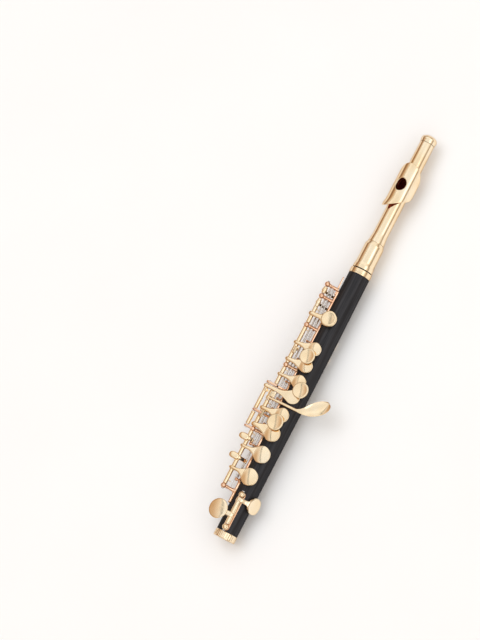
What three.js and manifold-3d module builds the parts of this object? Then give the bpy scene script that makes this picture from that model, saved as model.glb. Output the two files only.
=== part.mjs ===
// A piccolo: black body joint with its key work and a gold-plated metal head joint.
// Millimetres. The bore runs along +X from the foot end to the crown, the key tops face +Z,
// and the key rods lie on the +Y side, which is the player's side.
import * as THREE from 'three';
import { mergeVertices } from 'three/addons/utils/BufferGeometryUtils.js';
import Module from 'manifold-3d';

const wasm = await Module();
wasm.setup();
const { Manifold, Mesh: SolidMesh } = wasm;

// ---------- driving dimensions ----------
const LENGTH = 324;              // foot end to crown end
const MID_X = LENGTH / 2;        // the model's origin along X
const SHIFT_Y = 3.9;             // moves the bore axis so that the box is centred on Y
const SHIFT_Z = 13.373;           // height of the bore axis over the lowest point
const SEAT = 9.1;                // top of the tone-hole seats over the bore axis
const ROD = [14.66, 10.2];       // main rod line (Y, Z) from the bore axis
const OUTER = [19.6, 11.6];      // outer rod line
const EB_ROD = [-0.8, 10.6];     // rod of the D sharp key, on top of the body
const THUMB_ROD = [10.9, -7.2];  // rod of the thumb keys, on the hidden side
const TRILL_ROD_1 = [10.35, 4.75];
const TRILL_ROD_2 = [12.5, 6.25];
const TUBE_R = 1.48;             // hinge tubes
const TUBE_BORE = 0.9;
const STEEL_R = 0.6;             // pivot steels
const RIB_ANGLE = 35;            // rib direction from +Y towards +Z, degrees
const OPEN = 7;                  // how far the open-standing keys stand off their seats, degrees
const EMB_X = 281.2;             // embouchure hole centre
const EMB_ANGLE = 8;             // from +Z towards +Y, degrees
const EMB_A = 4.8, EMB_B = 4.2;  // half axes of the embouchure hole
const PLATE_R0 = 7.85, PLATE_R1 = 8.65; // inner and outer radius of the lip plate

const rad = THREE.MathUtils.degToRad;

// ---------- materials ----------
const gold = (name) => new THREE.MeshStandardMaterial({ name, color: 0xf0cf94, roughness: 0.2, metalness: 1 });
const copper = (name) => new THREE.MeshStandardMaterial({ name, color: 0xe0a585, roughness: 0.22, metalness: 1 });
const steel = (name) => new THREE.MeshStandardMaterial({ name, color: 0xd8d8dc, roughness: 0.25, metalness: 1 });
const black = (name) => new THREE.MeshStandardMaterial({ name, color: 0x1c1c1f, roughness: 0.42, metalness: 0 });
const cork = (name) => new THREE.MeshStandardMaterial({ name, color: 0xb98a58, roughness: 0.9, metalness: 0 });
const skin = (name) => new THREE.MeshStandardMaterial({ name, color: 0xf0e2c0, roughness: 0.7, metalness: 0 });

// ---------- solids ----------
function solid(geometry) {
  let g = geometry.clone();
  for (const key of Object.keys(g.attributes)) if (key !== 'position') g.deleteAttribute(key);
  g = mergeVertices(g, 1e-4);
  const index = g.index.array;
  const tris = [];
  for (let i = 0; i < index.length; i += 3) {
    const [a, b, c] = [index[i], index[i + 1], index[i + 2]];
    if (a !== b && b !== c && a !== c) tris.push(a, b, c);
  }
  const verts = new Float32Array(g.attributes.position.array);
  const make = (t) => new Manifold(new SolidMesh({ numProp: 3, vertProperties: verts, triVerts: new Uint32Array(t) }));
  let body = make(tris);
  if (body.volume() < 0) {
    for (let i = 0; i < tris.length; i += 3) [tris[i + 1], tris[i + 2]] = [tris[i + 2], tris[i + 1]];
    body = make(tris);
  }
  return body;
}
const join = (...parts) => parts.reduce((a, b) => a.add(b));
function geometryOf(body) {
  const mesh = body.getMesh();
  const g = new THREE.BufferGeometry();
  const n = mesh.numProp;
  const count = mesh.vertProperties.length / n;
  const pos = new Float32Array(count * 3);
  for (let i = 0; i < count; i++) for (let k = 0; k < 3; k++) pos[3 * i + k] = mesh.vertProperties[n * i + k];
  g.setAttribute('position', new THREE.BufferAttribute(pos, 3));
  g.setIndex(Array.from(mesh.triVerts));
  g.computeVertexNormals();
  return g;
}
// revolve [x, r] pairs about the X axis
function turned(profile, segments = 20) {
  const g = new THREE.LatheGeometry(profile.map(([x, r]) => new THREE.Vector2(r, x)), segments);
  g.rotateZ(-Math.PI / 2);
  return g;
}
// closed ring profile, revolved about X
const ring = (profile, segments = 20) => turned([...profile, profile[0]], segments);
// revolve [r, z] pairs about a vertical axis at (x, y)
function button(profile, x, y, segments = 16) {
  const g = new THREE.LatheGeometry(profile.map(([r, z]) => new THREE.Vector2(r, z)), segments);
  g.rotateX(Math.PI / 2);
  g.translate(x, y, 0);
  return g;
}
function bar(a, b, r, segments = 8) {
  const from = new THREE.Vector3(...a), to = new THREE.Vector3(...b);
  const dir = to.clone().sub(from);
  const g = new THREE.CylinderGeometry(r, r, dir.length(), segments);
  g.applyQuaternion(new THREE.Quaternion().setFromUnitVectors(new THREE.Vector3(0, 1, 0), dir.clone().normalize()));
  const mid = from.add(to).multiplyScalar(0.5);
  g.translate(mid.x, mid.y, mid.z);
  return g;
}
function ball(c, r, w = 8, h = 5) {
  const g = new THREE.SphereGeometry(r, w, h);
  g.translate(...c);
  return g;
}
// a tube along X at (y, z)
function sleeve(x0, x1, [y, z], r, bore, segments = 12) {
  const g = ring([[x0, bore], [x1, bore], [x1, r], [x0, r]], segments);
  g.translate(0, y, z);
  return g;
}
// a polygon in (y, z), extruded from x0 to x1
function slab(points, x0, x1) {
  const shape = new THREE.Shape(points.map(([y, z]) => new THREE.Vector2(y, z)));
  const g = new THREE.ExtrudeGeometry(shape, { depth: x1 - x0, bevelEnabled: false });
  // shape x -> world y, shape y -> world z, depth -> world x
  g.applyMatrix4(new THREE.Matrix4().set(0, 0, 1, x0, 1, 0, 0, 0, 0, 1, 0, 0, 0, 0, 0, 1));
  return g;
}
// an outline in (x, y), extruded from z0 to z1
function sheet(points, z0, z1) {
  const shape = new THREE.Shape(points.map(([x, y]) => new THREE.Vector2(x, y)));
  const g = new THREE.ExtrudeGeometry(shape, { depth: z1 - z0, bevelEnabled: false });
  g.translate(0, 0, z0);
  return g;
}
// a prism of elliptical section standing radially at the embouchure
function embouchurePrism(a, b, from, to) {
  const shape = new THREE.Shape();
  shape.absellipse(0, 0, a, b, 0, Math.PI * 2, false, 0);
  const g = new THREE.ExtrudeGeometry(shape, { depth: to - from, bevelEnabled: false, curveSegments: 10 });
  g.translate(0, 0, from);
  g.rotateX(rad(-EMB_ANGLE));
  g.translate(EMB_X, 0, 0);
  return g;
}

// ---------- scene graph ----------
const piccolo = new THREE.Group();
piccolo.name = 'piccolo';
const frame = new THREE.Group();
frame.position.set(-MID_X, SHIFT_Y, SHIFT_Z);
piccolo.add(frame);
function place(name, body, material, parent = frame) {
  const mesh = new THREE.Mesh(geometryOf(body), material(name + '_finish'));
  mesh.name = name;
  parent.add(mesh);
  return mesh;
}

// ---------- body joint ----------
// outer radius of the black body along X
const BODY = [[5.1, 7.85], [24, 8.0], [64, 8.15], [90, 8.28], [120, 8.42], [145, 8.42], [171, 8.25], [209, 7.95]];
function bodyRadius(x) {
  for (let i = 1; i < BODY.length; i++) {
    const [[xa, ra], [xb, rb]] = [BODY[i - 1], BODY[i]];
    if (x <= xb) return ra + (rb - ra) * (x - xa) / (xb - xa);
  }
  return BODY[BODY.length - 1][1];
}
// tone holes: x, lateral offset, turn from +Z about X in degrees, hole radius, seat height
const HOLES = [
  { x: 29.4, y: 0, turn: 74, r: 2.6, seat: 8.5 },
  { x: 45.9, y: -0.6, turn: 0, r: 2.7 },
  { x: 63.6, y: -1.2, turn: 0, r: 2.6 },
  { x: 80.0, y: -0.8, turn: 0, r: 2.5 },
  { x: 94.5, y: -0.9, turn: 0, r: 2.3 },
  { x: 109.5, y: -1.2, turn: 0, r: 2.2 },
  { x: 120.7, y: -1.0, turn: 0, r: 2.2 },
  { x: 133.0, y: -0.1, turn: 0, r: 2.1 },
  { x: 146.3, y: 0.0, turn: 0, r: 2.0 },
  { x: 170.3, y: 0.8, turn: 0, r: 1.8 },
  { x: 146.5, y: 0, turn: 180, r: 1.9 },
  { x: 158.0, y: 0, turn: 180, r: 1.9 },
  { x: 178.6, y: 0, turn: -125, r: 1.6, seat: 8.8 },
  { x: 188.4, y: 0, turn: -125, r: 1.6, seat: 8.8 },
];
{
  const shell = solid(ring([
    [1.5, 4.4], [232.2, 4.9], [232.2, 6.0], [230, 6.0], [230, 5.6], [216.6, 5.6], [216.6, 6.0], [214.8, 6.0],
    [214.8, 7.5], [209, 7.5], ...BODY.slice().reverse(), [5.1, 7.0], [1.5, 7.0]], 24));
  let body = shell;
  const bore = solid(turned([[-1, 0], [-1, 4.4], [1.5, 4.4], [232.2, 4.9], [234, 4.9], [234, 0]], 24));
  for (const h of HOLES) {
    const top = h.seat ?? SEAT;
    const collar = button([[0, 6.2], [h.r + 1.0, 6.2], [h.r + 1.0, top], [0, top]], h.x, h.y, 10);
    collar.rotateX(rad(h.turn));
    body = body.add(solid(collar));
  }
  body = body.subtract(bore);
  for (const h of HOLES) {
    const hole = button([[0, 1], [h.r, 1], [h.r, 12], [0, 12]], h.x, h.y, 10);
    hole.rotateX(rad(h.turn));
    body = body.subtract(solid(hole));
  }
  place('body_tube', body, black);
}
place('foot_ring', solid(ring([[0, 4.6], [1.2, 4.6], [1.2, 7.3], [4.86, 7.3], [4.86, 8.1], [0.3, 8.1], [0, 7.8]], 24)), gold);
place('socket_ring', solid(ring([[209.3, 7.8], [214.5, 7.8], [214.5, 8.15], [209.3, 8.15]], 24)), gold);
place('tenon_cork', solid(ring([[216.9, 5.85], [229.7, 5.85], [229.7, 6.45], [216.9, 6.45]], 20)), cork);

// ---------- rib with its posts ----------
const C = Math.cos(rad(RIB_ANGLE)), S = Math.sin(rad(RIB_ANGLE));
const onRib = (x, r, side = 0) => [x, r * C + side * S, r * S - side * C]; // side > 0 lies on the lower side
const ROD_R = Math.hypot(...ROD);
function ribStrip(x0, x1, inner, outer, width, angle) {
  // a strip along the body: its foot follows the body's radius
  const pts = [];
  const steps = [x0, ...BODY.map((p) => p[0]).filter((x) => x > x0 && x < x1), x1];
  for (const x of steps) pts.push([x, inner(x)]);
  pts.push([x1, outer], [x0, outer]);
  const shape = new THREE.Shape(pts.map(([x, r]) => new THREE.Vector2(x, r)));
  const g = new THREE.ExtrudeGeometry(shape, { depth: width, bevelEnabled: false });
  g.translate(0, 0, -width / 2);
  // shape x -> x, shape y -> radial direction, depth -> tangential direction
  const [c, s] = [Math.cos(rad(angle)), Math.sin(rad(angle))];
  g.applyMatrix4(new THREE.Matrix4().set(1, 0, 0, 0, 0, c, -s, 0, 0, s, c, 0, 0, 0, 0, 1));
  return g;
}
const MAIN_POSTS = [33.13, 77.57, 128.41, 160.44, 183.7, 193.03];
const PLATES = [77.57, 90.23, 112.0];
{
  let rib = solid(ribStrip(24.2, 192.8, (x) => bodyRadius(x) + 0.2, 9.35, 2.3, RIB_ANGLE));
  rib = rib.add(solid(ribStrip(189, 203.3, () => 9.2, 10.15, 1.3, RIB_ANGLE)));
  for (const x of MAIN_POSTS) {
    rib = join(rib, solid(bar(onRib(x, 9.1), onRib(x, ROD_R), 1.2)), solid(ball([x, ...ROD], 2.0)),
      solid(bar(onRib(x, 9.1), onRib(x, 10.1), 1.5)));
  }
  for (const [x, eye] of [[41.15, TRILL_ROD_1], [67.7, TRILL_ROD_2]]) {
    rib = join(rib, solid(bar(onRib(x, 9.1), onRib(x, Math.hypot(...eye) + 0.6), 0.8)),
      solid(bar([x, ...eye], onRib(x, Math.hypot(...eye) + 0.2), 0.75)), solid(ball([x, ...eye], 1.2, 8, 5)));
  }
  const last = MAIN_POSTS[5];
  rib = join(rib, solid(ball([last, ...TRILL_ROD_1], 1.2, 8, 5)), solid(ball([last, ...TRILL_ROD_2], 1.2, 8, 5)),
    solid(bar([last, ...TRILL_ROD_1], [last, ...TRILL_ROD_2], 0.75)), solid(bar([last, ...TRILL_ROD_2], onRib(last, 15.2), 0.75)));
  for (const x of PLATES) {
    const w = 0.95;
    const p = (r, side) => onRib(x, r, side).slice(1);
    const plate = slab([p(9.1, w), p(ROD_R - 1.6, w), [ROD[0] + 1.7, ROD[1] - 1.3], [OUTER[0] + 0.6, OUTER[1] - 1.7],
      [OUTER[0] + 1.8, OUTER[1] - 0.3], [OUTER[0] + 1.2, OUTER[1] + 1.4], [OUTER[0] - 0.5, OUTER[1] + 1.7],
      [ROD[0] + 0.3, ROD[1] + 1.9], [ROD[0] - 1.5, ROD[1] + 1.2], p(ROD_R - 2, -w), p(9.1, -w)], x - 0.75, x + 0.75);
    rib = rib.add(solid(plate));
  }
  rib = rib.subtract(solid(bar([20, ...ROD], [210, ...ROD], TUBE_BORE)));
  rib = rib.subtract(solid(bar([70, ...OUTER], [120, ...OUTER], 0.8)));
  place('main_rib', rib, copper);
}
place('main_rod_lower', solid(bar([31.4, ...ROD], [128.2, ...ROD], STEEL_R, 12)), steel);
place('main_rod_upper', solid(bar([128.6, ...ROD], [194.8, ...ROD], STEEL_R, 12)), steel);
place('outer_rod', solid(bar([76.4, ...OUTER], [113.2, ...OUTER], 0.5, 12)), steel);
place('outer_rod_sleeve', solid(sleeve(79.0, 88.9, OUTER, 1.25, 0.8)), gold);

// ---------- keys ----------
// A key turns on its rod. It is drawn with its cup lying flat on the seat, then turned open.
// local frame: +Z away from the bore through the cup, rod at (rodY, rodZ)
function keyGroup(turn, rodLocal, open) {
  const side = new THREE.Group();
  side.rotation.x = rad(turn);
  const hinge = new THREE.Group();
  hinge.position.set(0, ...rodLocal);
  hinge.rotation.x = rad(open);
  const inner = new THREE.Group();
  inner.position.set(0, -rodLocal[0], -rodLocal[1]);
  hinge.add(inner);
  side.add(hinge);
  frame.add(side);
  return inner;
}
const cupSolid = (x, y, r, seat, dome = 0.9) => solid(button([
  [0, seat + 1.65], [r - 0.55, seat + 1.65], [r - 0.55, seat + 0.6], [r, seat + 0.6], [r, seat + 1.7],
  [r * 0.7, seat + 1.6 + dome * 0.8], [0, seat + 1.6 + dome]], x, y, 16));
const padSolid = (x, y, r, seat) => solid(button([
  [0, seat + 0.15], [r - 0.85, seat + 0.15], [r - 0.85, seat + 1.35], [0, seat + 1.35]], x, y, 12));
const upper = [
  // name, cup x, cup y, cup radius, arm x, hinge tube from, to
  { name: 'd_key', x: 45.9, y: -0.6, r: 6.3, arm: 46.8, tube: [34.9, 55.0] },
  { name: 'e_key', x: 63.6, y: -1.2, r: 6.3, arm: 63.8, tube: [55.3, 75.9] },
  { name: 'f_key', x: 80.0, y: -0.8, r: 6.0, arm: 81.0, tube: [79.3, 89.2], armWidth: 2.8 },
  { name: 'f_sharp_key', x: 94.5, y: -0.9, r: 5.4, arm: 93.9, tube: [91.3, 100.0] },
  { name: 'g_key', x: 120.7, y: -1.0, r: 5.2, arm: 120.6, tube: [113.2, 126.5] },
  { name: 'a_key', x: 133.0, y: -0.1, r: 5.0, arm: 132.8, tube: [130.3, 140.0] },
  { name: 'b_flat_key', x: 146.3, y: 0.0, r: 5.1, arm: 145.9, tube: [140.3, 158.6] },
  { name: 'c_key', x: 170.3, y: 0.8, r: 5.8, arm: 169.2, tube: [162.3, 175.0] },
];
for (const k of upper) {
  const group = keyGroup(0, ROD, -OPEN);
  const w = (k.armWidth ?? 2.6) / 2;
  const [ry, rz] = ROD;
  // arm: from above the cup, level over the hinge tube, ending rounded just past the rod
  const arm = slab([[k.y - k.r * 0.35, SEAT + 1.9], [ry - 1.5, SEAT + 1.9], [ry - 1.9, rz + 0.4], [ry + 1.9, rz + 0.4], [ry + 2.6, rz + 1.2],
    [ry + 2.4, rz + 2.1], [ry - 3, SEAT + 3.1], [k.y - k.r * 0.2, SEAT + 2.9]], k.arm - w, k.arm + w);
  const hub = bar([k.arm - w, ...ROD], [k.arm + w, ...ROD], 1.95, 12);
  const tube = bar([k.tube[0], ...ROD], [k.tube[1], ...ROD], TUBE_R, 12);
  let body = join(cupSolid(k.x, k.y, k.r, SEAT), solid(arm), solid(hub), solid(tube));
  body = body.subtract(solid(bar([20, ...ROD], [210, ...ROD], TUBE_BORE, 12)));
  place(k.name, body, gold, group);
  place(k.name.replace('_key', '_pad'), padSolid(k.x, k.y, k.r, SEAT), skin, group);
  if (k.name === 'f_key') place('f_finger_disc', join(solid(discAt(88.0, -0.4, 6.15)), solid(stem(84.2, -0.6, 1.3))), gold, group);
  if (k.name === 'g_key') place('g_finger_disc', join(solid(discAt(115.4, -6.6, 6.0)), solid(stem(118.4, -3.6, 1.2))), gold, group);
  if (k.name === 'a_key') place('a_finger_disc', join(solid(discAt(139.5, 0.9, 5.8)), solid(stem(136.2, 0.4, 1.0))), gold, group);
}
function discAt(x, y, r) {
  const z = SEAT + 4.1;
  return button([[0, z], [r - 0.5, z], [r, z + 0.35], [r, z + 0.7], [r - 0.5, z + 1.1], [0, z + 1.1]], x, y, 18);
}
function stem(x, y, r) {
  return button([[0, SEAT + 3.0], [r, SEAT + 3.0], [r, SEAT + 4.3], [0, SEAT + 4.3]], x, y, 8);
}

// G sharp: closed cup hinged on the outer rod, opened by the spoon lever on the main rod
{
  const k = { x: 109.5, y: -1.2, r: 5.2, arm: 109.0 };
  const group = keyGroup(0, OUTER, 0);
  const [oy, oz] = OUTER;
  const arm = slab([[k.y - 1.8, SEAT + 1.9], [8.5, SEAT + 1.9], [12.3, 12.15], [17.2, 12.3], [oy - 1.2, oz - 0.4], [oy + 1.5, oz - 0.4],
    [oy + 1.7, oz + 1.1], [oy + 0.4, oz + 1.9], [12, 13.4], [8, SEAT + 3.0], [k.y - 1, SEAT + 2.9]], k.arm - 1.15, k.arm + 1.15);
  const lug = slab([[17.5, 12.75], [oy - 0.6, oz + 0.3], [oy + 0.4, oz + 1.2], [17.5, 13.6]], 105.0, 107.2);
  const seat = SEAT + 0.1;
  let body = join(cupSolid(k.x, k.y, k.r, seat), solid(arm), solid(lug), solid(bar([91.3, ...OUTER], [110.9, ...OUTER], 1.25, 12)));
  body = body.subtract(solid(bar([70, ...OUTER], [120, ...OUTER], 0.8, 12)));
  place('g_sharp_key', body, gold, group);
  place('g_sharp_pad', padSolid(k.x, k.y, k.r, seat), skin, group);
}
{
  const group = keyGroup(0, ROD, 0);
  const arm = slab([[-10.4, 9.4], [-6, 10.2], [0, 10.75], [8, 10.9], [12.4, 10.2], [15, 11.2], [15.2, 12.2], [12, 12.5], [6, 12.4],
    [0, 11.95], [-6, 11.4], [-10.8, 10.5]], 101.2, 103.1);
  const spoon = sheet([[101.2, -9.2], [101.4, -15.6], [103.1, -20.8], [106.4, -25.9], [110.5, -28.9], [113.9, -29.2], [116.5, -26.7],
    [116.6, -23.7], [114.3, -19.3], [111.0, -16.0], [105.5, -11.9], [103.5, -9.2]], 9.4, 10.6);
  const tail = slab([[14.4, 11.1], [17.0, 11.4], [17.9, 11.6], [17.9, 12.4], [14.6, 12.3]], 105.2, 107.0);
  let body = join(solid(arm), solid(spoon), solid(tail), solid(bar([100.4, ...ROD], [110.7, ...ROD], TUBE_R, 12)),
    solid(bar([101.0, ...ROD], [103.4, ...ROD], 1.95, 12)));
  body = body.subtract(solid(bar([20, ...ROD], [210, ...ROD], TUBE_BORE, 12)));
  place('g_sharp_lever', body, gold, group);
}

// D sharp key: a rocker on its own rib, with the round touch on one side and the pad cup on the other
{
  const turn = 74;
  const toLocal = ([y, z]) => {
    const a = rad(-turn);
    return [y * Math.cos(a) - z * Math.sin(a), y * Math.sin(a) + z * Math.cos(a)];
  };
  const rod = toLocal(EB_ROD);
  const group = keyGroup(turn, rod, 0);
  const seat = 8.6;
  const arm = slab([[-2, seat + 1.9], [4.6, seat + 1.9], [6.9, seat + 0.9], [rod[0] - 1.2, rod[1] + 1.2], [rod[0] + 0.8, rod[1] + 1.2],
    [rod[0] - 0.2, rod[1] + 3.2], [7.6, seat + 1.9], [4.8, seat + 2.9], [-1.5, seat + 2.9]], 27.4, 30.2);
  let body = join(cupSolid(29.4, 0, 6.1, seat), solid(arm));
  const touch = button([[0, 11.9], [6.6, 11.9], [7.25, 12.3], [7.25, 12.6], [6.7, 13.0], [0, 13.35]], 17.0, 0, 20);
  touch.rotateX(rad(-10));
  touch.translate(0, 7.3, 0.2);
  touch.rotateX(rad(-turn));
  const reach = slab([[-1.6, 11.6], [4.0, 11.9], [8.0, 12.0], [8.0, 13.0], [4.4, 13.9], [-1.6, 13.0]], 15.2, 18.6);
  reach.rotateX(rad(-turn));
  body = join(body, solid(touch), solid(reach), solid(bar([10.3, ...rod], [30.2, ...rod], 1.7, 12)));
  body = body.subtract(solid(bar([0, ...rod], [40, ...rod], TUBE_BORE, 12)));
  place('d_sharp_key', body, gold, group);
  place('d_sharp_pad', padSolid(29.4, 0, 6.1, seat), skin, group);
  const angle = 90 - THREE.MathUtils.radToDeg(Math.atan2(EB_ROD[0], EB_ROD[1])) ;
  const [c, s] = [Math.cos(rad(angle)), Math.sin(rad(angle))];
  let rib = solid(ribStrip(3.3 + 2.2, 34.9, (x) => bodyRadius(x) + 0.2, 8.9, 4.8, angle));
  for (const x of [7.83, 32.7]) {
    rib = join(rib, solid(bar([x, 8.6 * c, 8.6 * s], [x, ...EB_ROD], 1.5, 10)), solid(ball([x, ...EB_ROD], 2.2, 12, 7)));
  }
  rib = rib.subtract(solid(bar([0, ...EB_ROD], [40, ...EB_ROD], TUBE_BORE, 12)));
  place('d_sharp_rib', rib, copper);
  place('d_sharp_rod', solid(bar([5.9, ...EB_ROD], [34.6, ...EB_ROD], STEEL_R, 12)), steel);
}

// trill levers: long tubes beside the posts, each with an oval touch over the main rod
for (const t of [{ name: 'trill_lever_lower', x: 55.0, from: 42.6, axis: TRILL_ROD_1 }, { name: 'trill_lever_upper', x: 70.0, from: 69.15, axis: TRILL_ROD_2 }]) {
  const group = keyGroup(0, t.axis, 0);
  const [y, z] = t.axis;
  const oval = new THREE.Shape();
  oval.absellipse(t.x, 16.7, 2.5, 3.9, 0, Math.PI * 2, false, 0);
  const touch = new THREE.ExtrudeGeometry(oval, { depth: 1.1, bevelEnabled: false, curveSegments: 10 });
  touch.translate(0, 0, 13.1);
  const stemX = Math.max(t.x, t.from + 0.9);
  const neck = slab([[y - 0.6, z], [y + 0.6, z - 0.3], [y + 0.9, z + 2.4], [12.2, 12.3], [15.5, 12.7], [17.5, 13.2], [16, 13.9], [12, 13.7], [y - 0.8, z + 2.8]],
    stemX - 0.9, stemX + 0.9);
  const body = join(solid(bar([t.from, ...t.axis], [191.5, ...t.axis], 0.65, 10)), solid(neck), solid(touch));
  place(t.name, body, gold, group);
}
// trill cups, on the lower player's side, hinged on the main rod
for (const t of [{ name: 'trill_cup_lower', x: 178.6, tube: [175.3, 181.3] }, { name: 'trill_cup_upper', x: 188.4, tube: [186.0, 190.7] }]) {
  const turn = -125;
  const a = rad(-turn);
  const rod = [ROD[0] * Math.cos(a) - ROD[1] * Math.sin(a), ROD[0] * Math.sin(a) + ROD[1] * Math.cos(a)];
  const group = keyGroup(turn, rod, 0);
  const seat = 8.95;
  const arm = slab([[2, seat + 1.9], [-8.5, seat + 1.9], [-13.6, 8.6], [rod[0] + 1.2, rod[1] - 0.4], [rod[0] - 0.6, rod[1] + 0.6], [-15.4, 8.6], [-13, 10.9],
    [-9, seat + 3.0], [1.5, seat + 2.8]], t.x - 1, t.x + 1);
  let body = join(cupSolid(t.x, 0, 3.9, seat, 0.7), solid(arm), solid(bar([t.tube[0], ...rod], [t.tube[1], ...rod], TUBE_R, 12)));
  body = body.subtract(solid(bar([160, ...rod], [200, ...rod], TUBE_BORE, 12)));
  place(t.name, body, gold, group);
  place(t.name.replace('_cup', '_pad'), padSolid(t.x, 0, 3.9, seat), skin, group);
}
// thumb keys on the underside
{
  const rod = [-THUMB_ROD[0], -THUMB_ROD[1]];
  for (const t of [{ name: 'thumb_b_flat_key', x: 146.5, tube: [141.2, 151.8] }, { name: 'thumb_b_key', x: 158.0, tube: [152.1, 163.2] }]) {
    const group = keyGroup(180, rod, 6.5);
    const seat = SEAT;
    const arm = slab([[2, seat + 1.9], [-6.5, seat + 1.9], [rod[0] + 1.2, rod[1] - 0.2], [rod[0] - 1.2, rod[1] + 0.4], [rod[0] - 0.4, rod[1] + 2],
      [-7, seat + 3.0], [1.5, seat + 2.9]], t.x - 1.4, t.x + 1.4);
    let body = join(cupSolid(t.x, 0, 4.9, seat), solid(arm), solid(bar([t.tube[0], ...rod], [t.tube[1], ...rod], TUBE_R, 12)));
    body = body.subtract(solid(bar([130, ...rod], [170, ...rod], TUBE_BORE, 12)));
    place(t.name, body, gold, group);
    place(t.name.replace('_key', '_pad'), padSolid(t.x, 0, 4.9, seat), skin, group);
  }
  const angle = THREE.MathUtils.radToDeg(Math.atan2(THUMB_ROD[1], THUMB_ROD[0]));
  const [c, s] = [Math.cos(rad(angle)), Math.sin(rad(angle))];
  let rib = solid(ribStrip(137.5, 166.9, () => 8.65, 9.4, 2.2, angle));
  for (const x of [139.4, 165.0]) rib = join(rib, solid(bar([x, 9.2 * c, 9.2 * s], [x, ...THUMB_ROD], 0.95)), solid(ball([x, ...THUMB_ROD], 1.75)));
  rib = rib.subtract(solid(bar([130, ...THUMB_ROD], [175, ...THUMB_ROD], TUBE_BORE, 12)));
  place('thumb_rib', rib, copper);
  place('thumb_rod', solid(bar([138.0, ...THUMB_ROD], [166.4, ...THUMB_ROD], STEEL_R, 12)), steel);
}
// needle springs beside the posts
[[127.0, 116.0], [159.0, 148.2], [182.3, 171.6], [76.2, 64.6]].forEach(([a, b], i) => {
  place(`needle_spring_${i + 1}`, solid(bar([a, ...onRib(a, 13, -1.5).slice(1)], [b, ...onRib(b, 13.6, -1.1).slice(1)], 0.22, 8)), steel);
});

// ---------- head joint ----------
place('head_barrel', solid(ring([[215.3, 6.8], [232.9, 6.8], [232.9, 5.8], [235.4, 5.8], [235.4, 6.35], [233.0, 7.12], [218.6, 7.15], [216.8, 7.55], [215.3, 7.6]], 24)), gold);
{
  let tube = solid(ring([[233.3, 5.05], [317.5, 5.05], [317.5, 5.45], [242, 5.45], [238.9, 5.85], [235.75, 6.15], [235.75, 5.5], [233.3, 5.5]], 24));
  tube = tube.subtract(solid(embouchurePrism(EMB_A, EMB_B, 2, 8)));
  place('head_tube', tube, gold);
}
{
  let riser = solid(embouchurePrism(EMB_A + 1.3, EMB_B + 1.3, 2, 8.5)).subtract(solid(embouchurePrism(EMB_A, EMB_B, 1, 9.5)));
  riser = riser.intersect(solid(ring([[270, 5.75], [292, 5.75], [292, 7.6], [270, 7.6]], 36)));
  place('lip_riser', riser, gold);
}
{
  // lip plate outline: angle from +Z towards +Y, foot-side x, crown-side x
  const edge = [[-98, 277, 286.5], [-88, 274.2, 290], [-65, 271.2, 293.9], [-42, 268.4, 296.6], [-20, 265.8, 298.0], [10, 263.0, 298.4], [40, 261.9, 296.9],
    [62, 264.2, 293.6], [76, 268.8, 289.0], [84, 273.8, 283.8]];
  const rows = 16, cols = 6;
  const at = (angle) => {
    let i = 1;
    while (i < edge.length - 1 && angle > edge[i][0]) i++;
    const t = (angle - edge[i - 1][0]) / (edge[i][0] - edge[i - 1][0]);
    return [edge[i - 1][1] + (edge[i][1] - edge[i - 1][1]) * t, edge[i - 1][2] + (edge[i][2] - edge[i - 1][2]) * t];
  };
  const grid = (r) => {
    const pts = [];
    for (let i = 0; i <= rows; i++) {
      const angle = -98 + (84 + 98) * i / rows;
      const [xa, xb] = at(angle);
      for (let j = 0; j <= cols; j++) pts.push([xa + (xb - xa) * j / cols, r * Math.sin(rad(angle)), r * Math.cos(rad(angle))]);
    }
    return pts;
  };
  const inner = grid(PLATE_R0), outer = grid(PLATE_R1);
  const n = inner.length;
  const pos = [...inner, ...outer].flat();
  const idx = [];
  const id = (i, j, top) => (top ? n : 0) + i * (cols + 1) + j;
  const quad = (a, b, c, d) => idx.push(a, b, c, a, c, d);
  for (let i = 0; i < rows; i++) for (let j = 0; j < cols; j++) {
    quad(id(i, j, 1), id(i, j + 1, 1), id(i + 1, j + 1, 1), id(i + 1, j, 1));
    quad(id(i, j, 0), id(i + 1, j, 0), id(i + 1, j + 1, 0), id(i, j + 1, 0));
  }
  for (let i = 0; i < rows; i++) {
    quad(id(i, 0, 0), id(i, 0, 1), id(i + 1, 0, 1), id(i + 1, 0, 0));
    quad(id(i, cols, 0), id(i + 1, cols, 0), id(i + 1, cols, 1), id(i, cols, 1));
  }
  for (let j = 0; j < cols; j++) {
    quad(id(0, j, 0), id(0, j + 1, 0), id(0, j + 1, 1), id(0, j, 1));
    quad(id(rows, j, 0), id(rows, j, 1), id(rows, j + 1, 1), id(rows, j + 1, 0));
  }
  const g = new THREE.BufferGeometry();
  g.setAttribute('position', new THREE.BufferAttribute(new Float32Array(pos), 3));
  g.setIndex(idx);
  place('lip_plate', solid(g).subtract(solid(embouchurePrism(EMB_A, EMB_B, 5, 12))), gold);
}
place('stopper_cork', solid(ring([[289.0, 1.5], [297.4, 1.5], [297.4, 4.75], [289.0, 4.75]], 20)), cork);
place('stopper_screw', solid(turned([[287.4, 0], [287.4, 4.6], [288.7, 4.6], [288.7, 1.2], [297.7, 1.2], [297.7, 4.4], [298.9, 4.4], [298.9, 1.2], [318.2, 1.2], [318.2, 0]], 16)), steel);
place('crown', solid(turned([[320.2, 0], [320.2, 1.5], [313.6, 1.5], [313.6, 4.75], [317.8, 4.75], [317.8, 5.55], [318.5, 5.7], [319.0, 5.85], [320.5, 6.05],
  [322.4, 5.2], [323.5, 3.0], [324, 0]], 20)), gold);

export default piccolo;
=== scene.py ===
import bpy, bmesh, math, random
from mathutils import Matrix, Vector

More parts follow.
